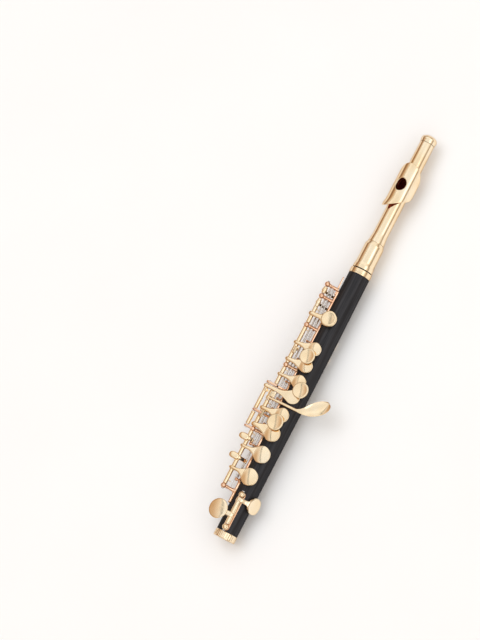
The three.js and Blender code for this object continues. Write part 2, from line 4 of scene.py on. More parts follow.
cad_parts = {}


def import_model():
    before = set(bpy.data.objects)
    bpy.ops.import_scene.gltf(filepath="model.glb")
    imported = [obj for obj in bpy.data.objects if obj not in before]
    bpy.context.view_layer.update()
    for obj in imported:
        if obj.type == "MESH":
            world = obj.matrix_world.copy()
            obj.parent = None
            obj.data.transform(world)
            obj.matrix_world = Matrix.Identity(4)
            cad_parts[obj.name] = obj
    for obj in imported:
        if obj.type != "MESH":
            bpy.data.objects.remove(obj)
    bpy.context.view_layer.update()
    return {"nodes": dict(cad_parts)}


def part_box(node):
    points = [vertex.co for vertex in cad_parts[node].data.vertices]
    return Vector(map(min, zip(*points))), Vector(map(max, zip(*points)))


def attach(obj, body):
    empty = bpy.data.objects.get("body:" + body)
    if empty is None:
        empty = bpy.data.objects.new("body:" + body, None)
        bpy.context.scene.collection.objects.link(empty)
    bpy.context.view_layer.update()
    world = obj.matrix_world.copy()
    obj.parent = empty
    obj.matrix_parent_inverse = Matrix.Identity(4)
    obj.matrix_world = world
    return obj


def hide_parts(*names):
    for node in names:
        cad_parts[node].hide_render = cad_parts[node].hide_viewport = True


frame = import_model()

NODES = frame["nodes"]

# ---------------------------------------------------------------- dimensions, mm, bore axis at y = z = 0
MID_X, SHIFT_Y, SHIFT_Z = 162.0, 3.9, 13.373
SEAT = 9.1
ROD = (14.66, 10.2)
OUTER = (19.6, 11.6)
EB_ROD = (-0.8, 10.6)
THUMB_ROD = (10.9, -7.2)
TRILL_1 = (10.35, 4.75)
TRILL_2 = (12.5, 6.25)
RIB_ANGLE = math.radians(35)
OPEN = 7.0
EMB_X, EMB_ANGLE, EMB_A, EMB_B = 281.2, math.radians(8), 4.8, 4.2
PI2 = 2 * math.pi


def world(p):
    return ((p[0] - MID_X) / 1000, (p[1] + SHIFT_Y) / 1000, (p[2] + SHIFT_Z) / 1000)


def lerp(a, b, t):
    return a + (b - a) * t


def smooth(t):
    t = max(0.0, min(1.0, t))
    return t * t * (3 - 2 * t)


def table(points, x):
    if x <= points[0][0]:
        return points[0][1]
    for (xa, ya), (xb, yb) in zip(points, points[1:]):
        if x <= xb:
            return lerp(ya, yb, (x - xa) / (xb - xa))
    return points[-1][1]


def soft_table(points, x):
    """A table read through smooth steps, so that the curve has no corners."""
    if x <= points[0][0]:
        return points[0][1]
    n = len(points)
    for i in range(n - 1):
        (xa, ya), (xb, yb) = points[i], points[i + 1]
        if x <= xb:
            t = (x - xa) / (xb - xa)
            m0 = 0 if i == 0 else (yb - points[i - 1][1]) / (xb - points[i - 1][0]) * (xb - xa)
            m1 = 0 if i == n - 2 else (points[i + 2][1] - ya) / (points[i + 2][0] - xa) * (xb - xa)
            return ((2 * t**3 - 3 * t**2 + 1) * ya + (t**3 - 2 * t**2 + t) * m0 + (-2 * t**3 + 3 * t**2) * yb + (t**3 - t**2) * m1)
    return points[-1][1]


def fillet(points, radius, closed=False, steps=4):
    """Rounds the corners of a 2D polyline. radius is a number or one for each point."""
    n = len(points)
    radii = radius if isinstance(radius, (list, tuple)) else [radius] * n
    out = []
    for i, p in enumerate(points):
        if not closed and i in (0, n - 1):
            out.append(p)
            continue
        a, b = points[i - 1], points[(i + 1) % n]
        va = (a[0] - p[0], a[1] - p[1])
        vb = (b[0] - p[0], b[1] - p[1])
        la, lb = math.hypot(*va), math.hypot(*vb)
        if la < 1e-6 or lb < 1e-6 or radii[i] <= 0:
            out.append(p)
            continue
        va = (va[0] / la, va[1] / la)
        vb = (vb[0] / lb, vb[1] / lb)
        cosang = max(-1, min(1, va[0] * vb[0] + va[1] * vb[1]))
        if cosang < -0.995:
            out.append(p)
            continue
        half = math.acos(cosang) / 2
        d = min(radii[i] / math.tan(half), 0.45 * la, 0.45 * lb)
        pa = (p[0] + va[0] * d, p[1] + va[1] * d)
        pb = (p[0] + vb[0] * d, p[1] + vb[1] * d)
        for k in range(steps + 1):
            t = k / steps
            q = [(1 - t) ** 2 * pa[j] + 2 * t * (1 - t) * p[j] + t * t * pb[j] for j in (0, 1)]
            out.append(tuple(q))
    return out


class Build:
    """Collects closed shells in millimetres and turns them into one object."""

    def __init__(self, place=None):
        self.v, self.f = [], []
        self.place = place or (lambda p: p)

    def shell(self, verts, faces):
        n = len(self.v)
        self.v += [self.place(p) for p in verts]
        self.f += [tuple(i + n for i in f) for f in faces]

    def lathe(self, profile, origin=(0, 0, 0), axis=(1, 0, 0), seg=48, closed=False, ripple=None):
        a = Vector(axis).normalized()
        b = a.orthogonal().normalized()
        if abs(a.x) > 0.9:
            b = Vector((0, 0, 1)) - a * a.z
            b.normalize()
        c = a.cross(b)
        o = Vector(origin)
        verts, faces, rings = [], [], []
        for h, r in profile:
            if r < 1e-6 and not closed:
                verts.append(tuple(o + a * h))
                rings.append([len(verts) - 1])
                continue
            ids = []
            for k in range(seg):
                t = PI2 * k / seg
                rr = r + (ripple(h, r, t) if ripple else 0)
                verts.append(tuple(o + a * h + (b * math.cos(t) + c * math.sin(t)) * rr))
                ids.append(len(verts) - 1)
            rings.append(ids)
        pairs = list(zip(rings, rings[1:])) + ([(rings[-1], rings[0])] if closed else [])
        for p, q in pairs:
            if len(p) == 1 and len(q) == 1:
                continue
            for k in range(seg):
                k2 = (k + 1) % seg
                if len(p) == 1:
                    faces.append((p[0], q[k2], q[k]))
                elif len(q) == 1:
                    faces.append((p[k], p[k2], q[0]))
                else:
                    faces.append((p[k], p[k2], q[k2], q[k]))
        if not closed:
            if len(rings[0]) > 1:
                faces.append(tuple(reversed(rings[0])))
            if len(rings[-1]) > 1:
                faces.append(tuple(rings[-1]))
        self.shell(verts, faces)

    def rod(self, a, b, r, seg=24, edge=0.12):
        """A bar with rounded edges."""
        a, b = Vector(a), Vector(b)
        length = (b - a).length
        e = min(edge, r * 0.6, length * 0.3)
        prof = fillet([(0, 0), (0, r), (length, r), (length, 0)], e, steps=3)
        self.lathe(prof, a, b - a, seg)

    def sleeve(self, x0, x1, yz, r, bore, seg=32, edge=0.15):
        prof = fillet([(x0, bore), (x0, r), (x1, r), (x1, bore)], edge, closed=True, steps=3)
        self.lathe(prof, (0, yz[0], yz[1]), (1, 0, 0), seg, closed=True)

    def ball(self, c, r, seg=32, squash=1.0, axis=(0, 0, 1)):
        n = 16
        prof = [(-r * squash * math.cos(math.pi * i / n), r * math.sin(math.pi * i / n)) for i in range(n + 1)]
        prof[0] = (prof[0][0], 0)
        prof[-1] = (prof[-1][0], 0)
        self.lathe(prof, c, axis, seg)

    def loft(self, rings, caps=True):
        """Rings of equal length, in order, closed around."""
        verts = [p for ring in rings for p in ring]
        m = len(rings[0])
        faces = []
        for i in range(len(rings) - 1):
            for k in range(m):
                k2 = (k + 1) % m
                faces.append((i * m + k, i * m + k2, (i + 1) * m + k2, (i + 1) * m + k))
        if caps:
            faces.append(tuple(reversed(range(m))))
            faces.append(tuple(range((len(rings) - 1) * m, len(rings) * m)))
        self.shell(verts, faces)

    def prism(self, outline, lo, hi, frame3):
        """A 2D outline between two offsets. frame3 maps (u, v, w) to a point."""
        n = len(outline)
        verts = [frame3(u, v, lo) for u, v in outline] + [frame3(u, v, hi) for u, v in outline]
        faces = [tuple(reversed(range(n))), tuple(range(n, 2 * n))]
        faces += [(k, (k + 1) % n, n + (k + 1) % n, n + k) for k in range(n)]
        self.shell(verts, faces)

    def mesh(self, name):
        me = bpy.data.meshes.new(name)
        me.from_pydata([world(p) for p in self.v], [], self.f)
        me.validate()
        bm = bmesh.new()
        bm.from_mesh(me)
        bmesh.ops.remove_doubles(bm, verts=bm.verts, dist=1e-7)
        bmesh.ops.dissolve_degenerate(bm, edges=bm.edges, dist=1e-8)
        bmesh.ops.recalc_face_normals(bm, faces=bm.faces)
        bm.to_mesh(me)
        bm.free()
        return me

    def object(self, name, body=None, material=None, replaces=(), slot=None, angle=38):
        me = self.mesh(name)
        me.shade_smooth()
        me.set_sharp_from_angle(angle=math.radians(angle))
        o = bpy.data.objects.new(name, me)
        bpy.context.scene.collection.objects.link(o)
        if material:
            me.materials.append(material)
        if body:
            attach(o, body)
        if replaces:
            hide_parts(*replaces)
        return o


# ---------------------------------------------------------------- materials
def nodes_of(name):
    m = bpy.data.materials.new(name)
    m.use_nodes = True
    nt = m.node_tree
    nt.nodes.clear()
    out = nt.nodes.new("ShaderNodeOutputMaterial")
    bsdf = nt.nodes.new("ShaderNodeBsdfPrincipled")
    nt.links.new(bsdf.outputs[0], out.inputs[0])
    coord = nt.nodes.new("ShaderNodeTexCoord")
    return m, nt, bsdf, coord


def add_noise(nt, coord, scale, stretch=(1, 1, 1), detail=4, rough=0.55):
    mapping = nt.nodes.new("ShaderNodeMapping")
    mapping.inputs["Scale"].default_value = stretch
    nt.links.new(coord.outputs["Object"], mapping.inputs["Vector"])
    noise = nt.nodes.new("ShaderNodeTexNoise")
    noise.inputs["Scale"].default_value = scale
    noise.inputs["Detail"].default_value = detail
    noise.inputs["Roughness"].default_value = rough
    nt.links.new(mapping.outputs[0], noise.inputs["Vector"])
    return noise


def ramp(nt, source, stops):
    r = nt.nodes.new("ShaderNodeValToRGB")
    el = r.color_ramp.elements
    el[0].position, el[0].color = stops[0][0], (*stops[0][1], 1)
    el[1].position, el[1].color = stops[-1][0], (*stops[-1][1], 1)
    for pos, col in stops[1:-1]:
        e = el.new(pos)
        e.color = (*col, 1)
    nt.links.new(source, r.inputs[0])
    return r


def spread(nt, source, lo, hi, a=0.35, b=0.65):
    mr = nt.nodes.new("ShaderNodeMapRange")
    mr.inputs["From Min"].default_value = a
    mr.inputs["From Max"].default_value = b
    mr.inputs["To Min"].default_value = lo
    mr.inputs["To Max"].default_value = hi
    nt.links.new(source, mr.inputs["Value"])
    return mr


def bump(nt, bsdf, source, strength, distance=0.00002):
    b = nt.nodes.new("ShaderNodeBump")
    b.inputs["Strength"].default_value = strength
    b.inputs["Distance"].default_value = distance
    nt.links.new(source, b.inputs["Height"])
    nt.links.new(b.outputs[0], bsdf.inputs["Normal"])
    return b


def plated(name, light, mid, deep, r0, r1, scratch=0.06, along=(0.15, 1, 1), edge=(0.6, 0.42, 0.28)):
    """Polished plated metal: slow colour drift, fine polishing lines and a film of handling marks."""
    m, nt, bsdf, coord = nodes_of(name)
    bsdf.inputs["Metallic"].default_value = 1.0
    bsdf.inputs["Specular Tint"].default_value = (*edge, 1)
    tone = add_noise(nt, coord, 55, (1, 1, 1), 3)
    col = ramp(nt, tone.outputs[0], [(0.32, deep), (0.5, mid), (0.68, light)])
    nt.links.new(col.outputs[0], bsdf.inputs["Base Color"])
    film = add_noise(nt, coord, 420, (1, 1, 1), 5, 0.6)
    rough = spread(nt, film.outputs[0], r0, r1)
    nt.links.new(rough.outputs[0], bsdf.inputs["Roughness"])
    lines = add_noise(nt, coord, 5200, along, 3, 0.6)
    waves = add_noise(nt, coord, 260, (1, 1, 1), 2)
    mix = nt.nodes.new("ShaderNodeMath")
    mix.operation = "MULTIPLY_ADD"
    nt.links.new(waves.outputs[0], mix.inputs[0])
    mix.inputs[1].default_value = 1.4
    nt.links.new(lines.outputs[0], mix.inputs[2])
    bump(nt, bsdf, mix.outputs[0], scratch, 0.00003)
    return m


GOLD = plated("gold_plate_finish", (1.0, 0.85, 0.62), (0.985, 0.80, 0.54), (0.95, 0.735, 0.46), 0.08, 0.16, 0.04)
GOLD_TUBE = plated("gold_tube_finish", (1.0, 0.86, 0.64), (0.985, 0.81, 0.56), (0.955, 0.75, 0.48), 0.1, 0.19, 0.04, (0.04, 1, 1))
# painted reflection: the ribs and posts take a pinker, darker copy of the gold plating. It gives a rose tint, and its
# deep copper tones paint in the dark reflections they pick up
ROSE_WITH_PAINTED_REFLECTION = plated("rose_plate_painted_reflection_finish", (0.97, 0.70, 0.50), (0.92, 0.60, 0.41), (0.82, 0.47, 0.30), 0.12, 0.24, 0.06, edge=(0.42, 0.24, 0.15))
STEEL = plated("spring_steel_finish", (0.88, 0.87, 0.86), (0.8, 0.79, 0.78), (0.66, 0.64, 0.62), 0.16, 0.3, 0.06, (0.04, 1, 1), (0.6, 0.56, 0.52))


def body_material():
    m, nt, bsdf, coord = nodes_of("black_body_finish")
    grain = add_noise(nt, coord, 900, (0.03, 1, 1), 6, 0.65)
    cloud = add_noise(nt, coord, 60, (0.35, 1, 1), 4)
    col = ramp(nt, grain.outputs[0], [(0.3, (0.027, 0.027, 0.029)), (0.5, (0.040, 0.039, 0.042)), (0.72, (0.062, 0.060, 0.064))])
    nt.links.new(col.outputs[0], bsdf.inputs["Base Color"])
    add = nt.nodes.new("ShaderNodeMath")
    add.operation = "ADD"
    nt.links.new(grain.outputs[0], add.inputs[0])
    nt.links.new(cloud.outputs[0], add.inputs[1])
    rough = spread(nt, add.outputs[0], 0.26, 0.44, 0.75, 1.25)
    nt.links.new(rough.outputs[0], bsdf.inputs["Roughness"])
    bsdf.inputs["Metallic"].default_value = 0.62
    bsdf.inputs["Specular IOR Level"].default_value = 0.3
    bsdf.inputs["Specular Tint"].default_value = (0.1, 0.1, 0.1, 1)
    bump(nt, bsdf, grain.outputs[0], 0.12, 0.00005)
    return m


def cork_material():
    m, nt, bsdf, coord = nodes_of("cork_finish")
    cells = nt.nodes.new("ShaderNodeTexVoronoi")
    cells.inputs["Scale"].default_value = 900
    nt.links.new(coord.outputs["Object"], cells.inputs["Vector"])
    fleck = add_noise(nt, coord, 500, (1, 1, 1), 5)
    col = ramp(nt, fleck.outputs[0], [(0.3, (0.16, 0.085, 0.04)), (0.5, (0.42, 0.26, 0.14)), (0.7, (0.56, 0.37, 0.22))])
    nt.links.new(col.outputs[0], bsdf.inputs["Base Color"])
    bsdf.inputs["Roughness"].default_value = 0.88
    bump(nt, bsdf, cells.outputs["Distance"], 0.5, 0.00012)
    return m


def pad_material():
    m, nt, bsdf, coord = nodes_of("pad_skin_finish")
    folds = add_noise(nt, coord, 700, (1, 1, 1), 5)
    col = ramp(nt, folds.outputs[0], [(0.3, (0.62, 0.5, 0.3)), (0.5, (0.78, 0.66, 0.44)), (0.7, (0.88, 0.78, 0.58))])
    nt.links.new(col.outputs[0], bsdf.inputs["Base Color"])
    rough = spread(nt, folds.outputs[0], 0.4, 0.6)
    nt.links.new(rough.outputs[0], bsdf.inputs["Roughness"])
    bsdf.inputs["Subsurface Weight"].default_value = 0.08
    bsdf.inputs["Subsurface Scale"].default_value = 0.0005
    bump(nt, bsdf, folds.outputs[0], 0.35, 0.00008)
    return m


# painted shade: a mottled dark red-brown stands in for the shade inside the embouchure hole, in the bore and under the
# lip plate, over metal that is really plated
def painted_bore_shade_material():
    m, nt, bsdf, coord = nodes_of("embouchure_painted_shade_finish")
    bsdf.inputs["Metallic"].default_value = 0.85
    shade_mottle = add_noise(nt, coord, 300, (1, 1, 1), 4)
    col = ramp(nt, shade_mottle.outputs[0], [(0.3, (0.1, 0.014, 0.01)), (0.5, (0.3, 0.055, 0.035)), (0.72, (0.55, 0.16, 0.1))])
    nt.links.new(col.outputs[0], bsdf.inputs["Base Color"])
    rough = spread(nt, shade_mottle.outputs[0], 0.3, 0.5)
    nt.links.new(rough.outputs[0], bsdf.inputs["Roughness"])
    bump(nt, bsdf, shade_mottle.outputs[0], 0.1, 0.00004)
    return m


BLACK, CORK, PAD, PAINTED_BORE_SHADE = body_material(), cork_material(), pad_material(), painted_bore_shade_material()


# ---------------------------------------------------------------- booleans, for the pierced tubes
def combine(target, cutter, operation):
    mod = target.modifiers.new("cut", "BOOLEAN")
    mod.operation = operation
    mod.solver = "EXACT"
    mod.object = cutter
    bpy.context.view_layer.update()
    dg = bpy.context.evaluated_depsgraph_get()
    me = bpy.data.meshes.new_from_object(target.evaluated_get(dg), preserve_all_data_layers=True, depsgraph=dg)
    target.modifiers.clear()
    old = target.data
    target.data = me
    bpy.data.meshes.remove(old)
    bpy.data.objects.remove(cutter)


# ---------------------------------------------------------------- body joint
BODY = [(5.1, 7.85), (24, 8.0), (64, 8.15), (90, 8.28), (120, 8.42), (145, 8.42), (171, 8.25), (209, 7.95)]
HOLES = [(29.4, 0, 74, 2.6, 8.5), (45.9, -0.6, 0, 2.7, SEAT), (63.6, -1.2, 0, 2.6, SEAT), (80.0, -0.8, 0, 2.5, SEAT), (94.5, -0.9, 0, 2.3, SEAT),
         (109.5, -1.2, 0, 2.2, SEAT), (120.7, -1.0, 0, 2.2, SEAT), (133.0, -0.1, 0, 2.1, SEAT), (146.3, 0.0, 0, 2.0, SEAT), (170.3, 0.8, 0, 1.8, SEAT),
         (146.5, 0, 180, 1.9, SEAT), (158.0, 0, 180, 1.9, SEAT), (178.6, 0, -125, 1.6, 8.8), (188.4, 0, -125, 1.6, 8.8)]


def body_radius(x):
    return soft_table(BODY, x)


def turned_about_x(deg):
    a = math.radians(deg)
    c, s = math.cos(a), math.sin(a)
    return lambda p: (p[0], p[1] * c - p[2] * s, p[1] * s + p[2] * c)


def make_body():
    outer = [(5.1 + (209 - 5.1) * i / 48, 0) for i in range(49)]
    outer = [(x, body_radius(x)) for x, _ in outer]
    prof = [(1.5, 4.4)] + [(232.2 * t + 1.5 * (1 - t), 4.4 + 0.5 * t) for t in (0.25, 0.5, 0.75)] + [(232.2, 4.9), (232.2, 5.85), (232.05, 6.0), (230, 6.0), (229.95, 5.6), (216.65, 5.6), (216.6, 6.0), (213.5, 6.0),
            (213.4, 6.1), (213.4, 7.45), (213.35, 7.5), (209.05, 7.5), (209.0, 7.6)] + outer[::-1] + [(5.1, 7.75), (5.05, 7.0), (1.6, 7.0), (1.5, 6.9)]
    b = Build()
    b.lathe(prof, seg=112, closed=True)
    tube = b.object("black_body", angle=30)
    c = Build()
    for x, y, turn, r, top in HOLES:
        c.place = turned_about_x(turn)
        prof = fillet([(6.3, 0), (6.3, r + 1.0), (top, r + 1.0), (top, 0)], [0, 0, 0.25, 0], steps=3)
        c.lathe(prof, (x, y, 0), (0, 0, 1), 40)
    collars = c.object("collars")
    combine(tube, collars, "UNION")
    c = Build()
    for x, y, turn, r, top in HOLES:
        c.place = turned_about_x(turn)
        c.lathe([(2.5, 0), (2.5, r), (top - 0.2, r), (top + 0.05, r + 0.2), (12, r + 0.2), (12, 0)], (x, y, 0), (0, 0, 1), 40)
    combine(tube, c.object("holes"), "DIFFERENCE")
    c = Build()
    c.lathe([(0, 0), (0, 4.4), (1.5, 4.4), (232.2, 4.9), (233, 4.9), (233, 0)], seg=112)
    combine(tube, c.object("bore"), "DIFFERENCE")
    tube.data.materials.clear()
    tube.data.materials.append(BLACK)
    tube.data.shade_smooth()
    tube.data.set_sharp_from_angle(angle=math.radians(30))
    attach(tube, "body_joint")
    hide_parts("body_tube")


make_body()

# foot ring, with fine flutes between two plain edges
b = Build()


def flutes(h, r, t):
    if r < 7.9 or h < 0.55 or h > 4.3:
        return 0
    edge = min(1, (h - 0.55) / 0.3, (4.3 - h) / 0.3)
    return -0.11 * edge * (0.5 - 0.5 * math.cos(40 * t)) ** 0.6


prof = [(0.1, 4.6), (0, 4.7), (0, 7.75), (0.12, 7.98), (0.3, 8.07), (0.55, 8.08), (0.62, 8.08), (0.8, 8.08), (0.95, 8.08), (1.6, 8.08), (2.4, 8.08), (3.2, 8.08),
        (3.95, 8.08), (4.15, 8.08), (4.3, 8.08), (4.6, 8.08), (4.78, 8.03), (4.86, 7.9), (4.86, 7.3), (1.2, 7.3), (1.2, 4.6)]
b.lathe(prof, seg=480, closed=True, ripple=flutes)
b.object("foot_ring_fluted", "body_joint", GOLD_TUBE, ["foot_ring"], "gold_plate", 50)

b = Build()
b.lathe(fillet([(209.3, 7.75), (209.3, 8.12), (210.1, 8.12), (210.2, 8.04), (210.4, 8.04), (210.5, 8.12), (213.2, 8.12), (213.2, 7.75)], [0.02, 0.14, 0.03, 0.03, 0.03, 0.03, 0.16, 0.02], closed=True), seg=128, closed=True)
b.object("socket_ring_turned", "body_joint", GOLD_TUBE, ["socket_ring"], "gold_plate", 40)
b = Build()
b.lathe(fillet([(216.9, 5.85), (216.9, 6.45), (229.7, 6.45), (229.7, 5.85)], [0.02, 0.3, 0.3, 0.02], closed=True), seg=96, closed=True)
b.object("tenon_cork_wrap", "body_joint", CORK, ["tenon_cork"], "cork", 40)

# ---------------------------------------------------------------- ribs, posts, rods
CR, SR = math.cos(RIB_ANGLE), math.sin(RIB_ANGLE)
ROD_R = math.hypot(*ROD)


def on_rib(x, r, side=0.0):
    return (x, r * CR + side * SR, r * SR - side * CR)


def rib_strip(b, x0, x1, inner, outer, width, angle, round_ends=True):
    c, s = math.cos(angle), math.sin(angle)
    rings = []
    n = max(8, int((x1 - x0) / 3))
    xs = [x0 + (x1 - x0) * i / n for i in range(n + 1)]
    if round_ends:
        e = width / 2
        ends = [0.02, 0.15, 0.4, 0.7]
        xs = [x0 + e * t for t in ends] + [x0 + e + (x1 - x0 - 2 * e) * i / n for i in range(n + 1)] + [x1 - e * t for t in reversed(ends)]
    for x in xs:
        lo, hi, w = inner(x), outer, width / 2
        if round_ends:
            d = min(x - x0, x1 - x) / (width / 2)
            if d < 1:
                w *= math.sqrt(max(0.0, 1 - (1 - d) ** 2))
        k = min(0.22, w * 0.5)
        sec = fillet([(lo, -w), (hi, -w), (hi, w), (lo, w)], [0.02, k, k, 0.02], closed=True, steps=3)
        rings.append([(x, r * c - t * s, r * s + t * c) for r, t in sec])
    b.loft(rings)


def post(b, x, foot_r, top, angle, ball_r, waist=1.16, foot=1.75):
    c, s = math.cos(angle), math.sin(angle)
    axis = (0, c, s)
    o = (x, foot_r * c, foot_r * s)
    h = top - foot_r
    prof = fillet([(-0.25, 0), (-0.25, foot), (0.3, foot), (0.62, waist + 0.3), (1.1, waist), (h - ball_r - 0.85, waist - 0.04), (h - ball_r - 0.7, waist + 0.16),
                   (h - ball_r - 0.3, waist + 0.16), (h - ball_r + 0.1, waist - 0.1), (h - 0.6, waist - 0.1), (h - 0.6, 0)], 0.12, steps=3)
    b.lathe(prof, o, axis, 32)
    b.ball((x, top * c, top * s), ball_r, 36)


MAIN_POSTS = [33.13, 77.57, 128.41, 160.44, 183.7, 193.03]
PLATES = [77.57, 90.23, 112.0]
b = Build()
rib_strip(b, 24.2, 192.8, lambda x: body_radius(x) + 0.02, 9.35, 2.3, RIB_ANGLE)
rib_strip(b, 189, 203.3, lambda x: 9.2 + 0.35 * smooth((x - 192) / 8), 10.15, 1.2, RIB_ANGLE)
for x in MAIN_POSTS:
    post(b, x, 9.3, ROD_R, RIB_ANGLE, 2.0)
for x, eye in ((41.15, TRILL_1), (67.7, TRILL_2)):
    rr = math.hypot(*eye)
    b.rod(on_rib(x, 9.1), on_rib(x, rr + 1.0), 0.8, 24, 0.2)
    b.rod(on_rib(x, 9.2), on_rib(x, 9.75), 1.45, 28, 0.15)
    b.rod((x, *eye), on_rib(x, rr + 0.3), 0.7, 20)
    b.ball((x, *eye), 1.2, 28)
last = MAIN_POSTS[-1]
b.ball((last, *TRILL_1), 1.2, 28)
b.ball((last, *TRILL_2), 1.2, 28)
b.rod((last, *TRILL_1), (last, *TRILL_2), 0.7, 20)
b.rod((last, *TRILL_2), on_rib(last, 15.2), 0.7, 20)
for x in PLATES:
    w = 0.95
    p = lambda r, side: on_rib(x, r, side)[1:]
    outline = [p(9.1, w), p(ROD_R - 1.6, w), (ROD[0] + 1.7, ROD[1] - 1.3), (OUTER[0] + 0.6, OUTER[1] - 1.7), (OUTER[0] + 1.8, OUTER[1] - 0.3),
               (OUTER[0] + 1.2, OUTER[1] + 1.4), (OUTER[0] - 0.5, OUTER[1] + 1.7), (ROD[0] + 0.3, ROD[1] + 1.9), (ROD[0] - 1.5, ROD[1] + 1.2), p(ROD_R - 2, -w), p(9.1, -w)]
    outline = fillet(outline, [0, 0.6, 0.5, 0.9, 0.9, 0.9, 0.9, 0.9, 0.9, 0.6, 0], closed=True, steps=4)
    cy = sum(q[0] for q in outline) / len(outline)
    cz = sum(q[1] for q in outline) / len(outline)
    rings = []
    for dx, k in ((-0.75, 0.94), (-0.68, 0.98), (-0.58, 1.0), (0.58, 1.0), (0.68, 0.98), (0.75, 0.94)):
        rings.append([(x + dx, lerp(cy, q[0], k), lerp(cz, q[1], k)) for q in outline])
    b.loft(rings)
    if x != PLATES[0]:
        b.rod(on_rib(x, 9.2), on_rib(x, 9.8), 1.5, 28, 0.15)
for x in (84.4, 96.6, 104.6, 118.0, 136.0, 150.5, 171.0):
    prof = fillet([(9.2, 0), (9.2, 1.2), (9.75, 1.2), (10.1, 0.62), (12.2, 0.62), (12.3, 0.9), (12.75, 0.9), (12.95, 0.6), (13.1, 0)], 0.1, steps=3)
    b.lathe(prof, (x, 0, 0), (0, CR, SR), 26)
b.object("main_rib_and_posts", "body_joint", ROSE_WITH_PAINTED_REFLECTION, ["main_rib"], "rose_plate")

# pivot steels, with slotted screw heads at their ends
b = Build()
for x0, x1, yz, r in ((31.4, 128.2, ROD, 0.6), (128.6, 194.8, ROD, 0.6), (76.4, 113.2, OUTER, 0.5), (5.9, 34.6, EB_ROD, 0.6), (138.0, 166.4, THUMB_ROD, 0.6)):
    b.rod((x0, *yz), (x1, *yz), r, 20, 0.1)


def screw_head(b, x, yz, r, toward):
    """A small slotted head, as two half discs over a web."""
    y, z = yz
    b.rod((x, y, z), (x + toward * 0.25, y, z), r, 24, 0.05)
    for side in (-1, 1):
        arc = [(r * 0.94 * math.cos(t), side * max(0.12, r * 0.94 * math.sin(t))) for t in [math.pi * i / 14 for i in range(15)]]
        arc = [q for i, q in enumerate(arc) if i == 0 or q != arc[i - 1]]
        lo, hi = sorted((x + toward * 0.2, x + toward * 0.45))
        b.prism(arc, lo, hi, lambda u, v, w: (w, y + u, z + v))


for x, yz, r, t in ((31.2, ROD, 0.95, -1), (195.0, ROD, 0.95, 1), (5.5, EB_ROD, 1.1, -1), (35.0, EB_ROD, 1.1, 1), (76.6, OUTER, 0.75, -1), (113.0, OUTER, 0.75, 1),
                    (137.6, THUMB_ROD, 0.85, -1), (166.8, THUMB_ROD, 0.85, 1)):
    screw_head(b, x, yz, r, t)
b.object("pivot_steels", "body_joint", STEEL, ["main_rod_lower", "main_rod_upper", "outer_rod", "d_sharp_rod", "thumb_rod"], "steel")
b = Build()
b.sleeve(79.0, 88.9, OUTER, 1.42, 0.8)
for x in (80.0, 87.9):
    b.sleeve(x - 0.4, x + 0.4, OUTER, 1.55, 0.8)
b.object("outer_sleeve", "body_joint", GOLD_TUBE, ["outer_rod_sleeve"], "gold_plate")

# ribs of the D sharp key and of the thumb keys
EB_ANGLE = math.atan2(EB_ROD[1], EB_ROD[0])
b = Build()
rib_strip(b, 5.5, 34.9, lambda x: body_radius(x) + 0.0, 8.9, 4.8, EB_ANGLE)
for x in (7.83, 32.7):
    c, s = math.cos(EB_ANGLE), math.sin(EB_ANGLE)
    prof = fillet([(8.7, 0), (8.7, 2.0), (9.1, 2.0), (9.5, 1.4), (10.4, 1.4), (10.4, 0)], 0.15, steps=3)
    b.lathe(prof, (x, 0, 0), (0, c, s), 36)
for x in (12.5, 21.5, 28.5):
    for side in (-1.6,):
        a2 = EB_ANGLE + side / 8.9
        b.lathe(fillet([(8.6, 0), (8.6, 0.55), (9.02, 0.55), (9.1, 0.35), (9.12, 0)], 0.08, steps=2), (x, 0, 0), (0, math.cos(a2), math.sin(a2)), 20)
b.object("d_sharp_rib_and_posts", "body_joint", ROSE_WITH_PAINTED_REFLECTION, ["d_sharp_rib"], "rose_plate")
b = Build()
for x in (7.83, 32.7):
    b.ball((x, *EB_ROD), 2.25, 44)
    b.sleeve(x - 0.35, x + 0.35, EB_ROD, 2.32, 1.4, 44, 0.12)
b.object("d_sharp_post_balls", "body_joint", GOLD, [], "gold_plate")
TH_ANGLE = math.atan2(THUMB_ROD[1], THUMB_ROD[0])
b = Build()
rib_strip(b, 137.5, 166.9, lambda x: body_radius(x) + 0.02, 9.4, 2.2, TH_ANGLE)
for x in (139.4, 165.0):
    post(b, x, 9.3, math.hypot(*THUMB_ROD), TH_ANGLE, 1.75)
b.object("thumb_rib_and_posts", "body_joint", ROSE_WITH_PAINTED_REFLECTION, ["thumb_rib"], "rose_plate")

# ---------------------------------------------------------------- keys
def key_place(turn, rod, open_deg):
    a, o = math.radians(turn), math.radians(open_deg)
    ca, sa, co, so = math.cos(a), math.sin(a), math.cos(o), math.sin(o)

    def place(p):
        y, z = p[1] - rod[0], p[2] - rod[1]
        y, z = rod[0] + y * co - z * so, rod[1] + y * so + z * co
        return (p[0], y * ca - z * sa, y * sa + z * ca)
    return place


def local_rod(rod, turn):
    a = math.radians(-turn)
    return (rod[0] * math.cos(a) - rod[1] * math.sin(a), rod[0] * math.sin(a) + rod[1] * math.cos(a))


def cup(b, x, y, r, seat, top=2.15, dome=0.25, seg=64):
    """A pad cup: rolled lower edge, straight skirt, rounded shoulder, faintly domed top, hollow for the pad."""
    prof = [(seat + 1.65, 0), (seat + 1.65, r - 0.6), (seat + 0.62, r - 0.55), (seat + 0.55, r - 0.3), (seat + 0.6, r - 0.05), (seat + 0.75, r), (seat + 1.0, r - 0.04),
            (seat + top - 0.55, r - 0.04), (seat + top - 0.28, r - 0.12), (seat + top - 0.08, r - 0.34), (seat + top, r - 0.7)]
    for k in (0.8, 0.6, 0.4, 0.2):
        prof.append((seat + top + dome * (1 - k * k), (r - 0.7) * k))
    prof.append((seat + top + dome, 0))
    b.lathe(prof, (x, y, 0), (0, 0, 1), seg)


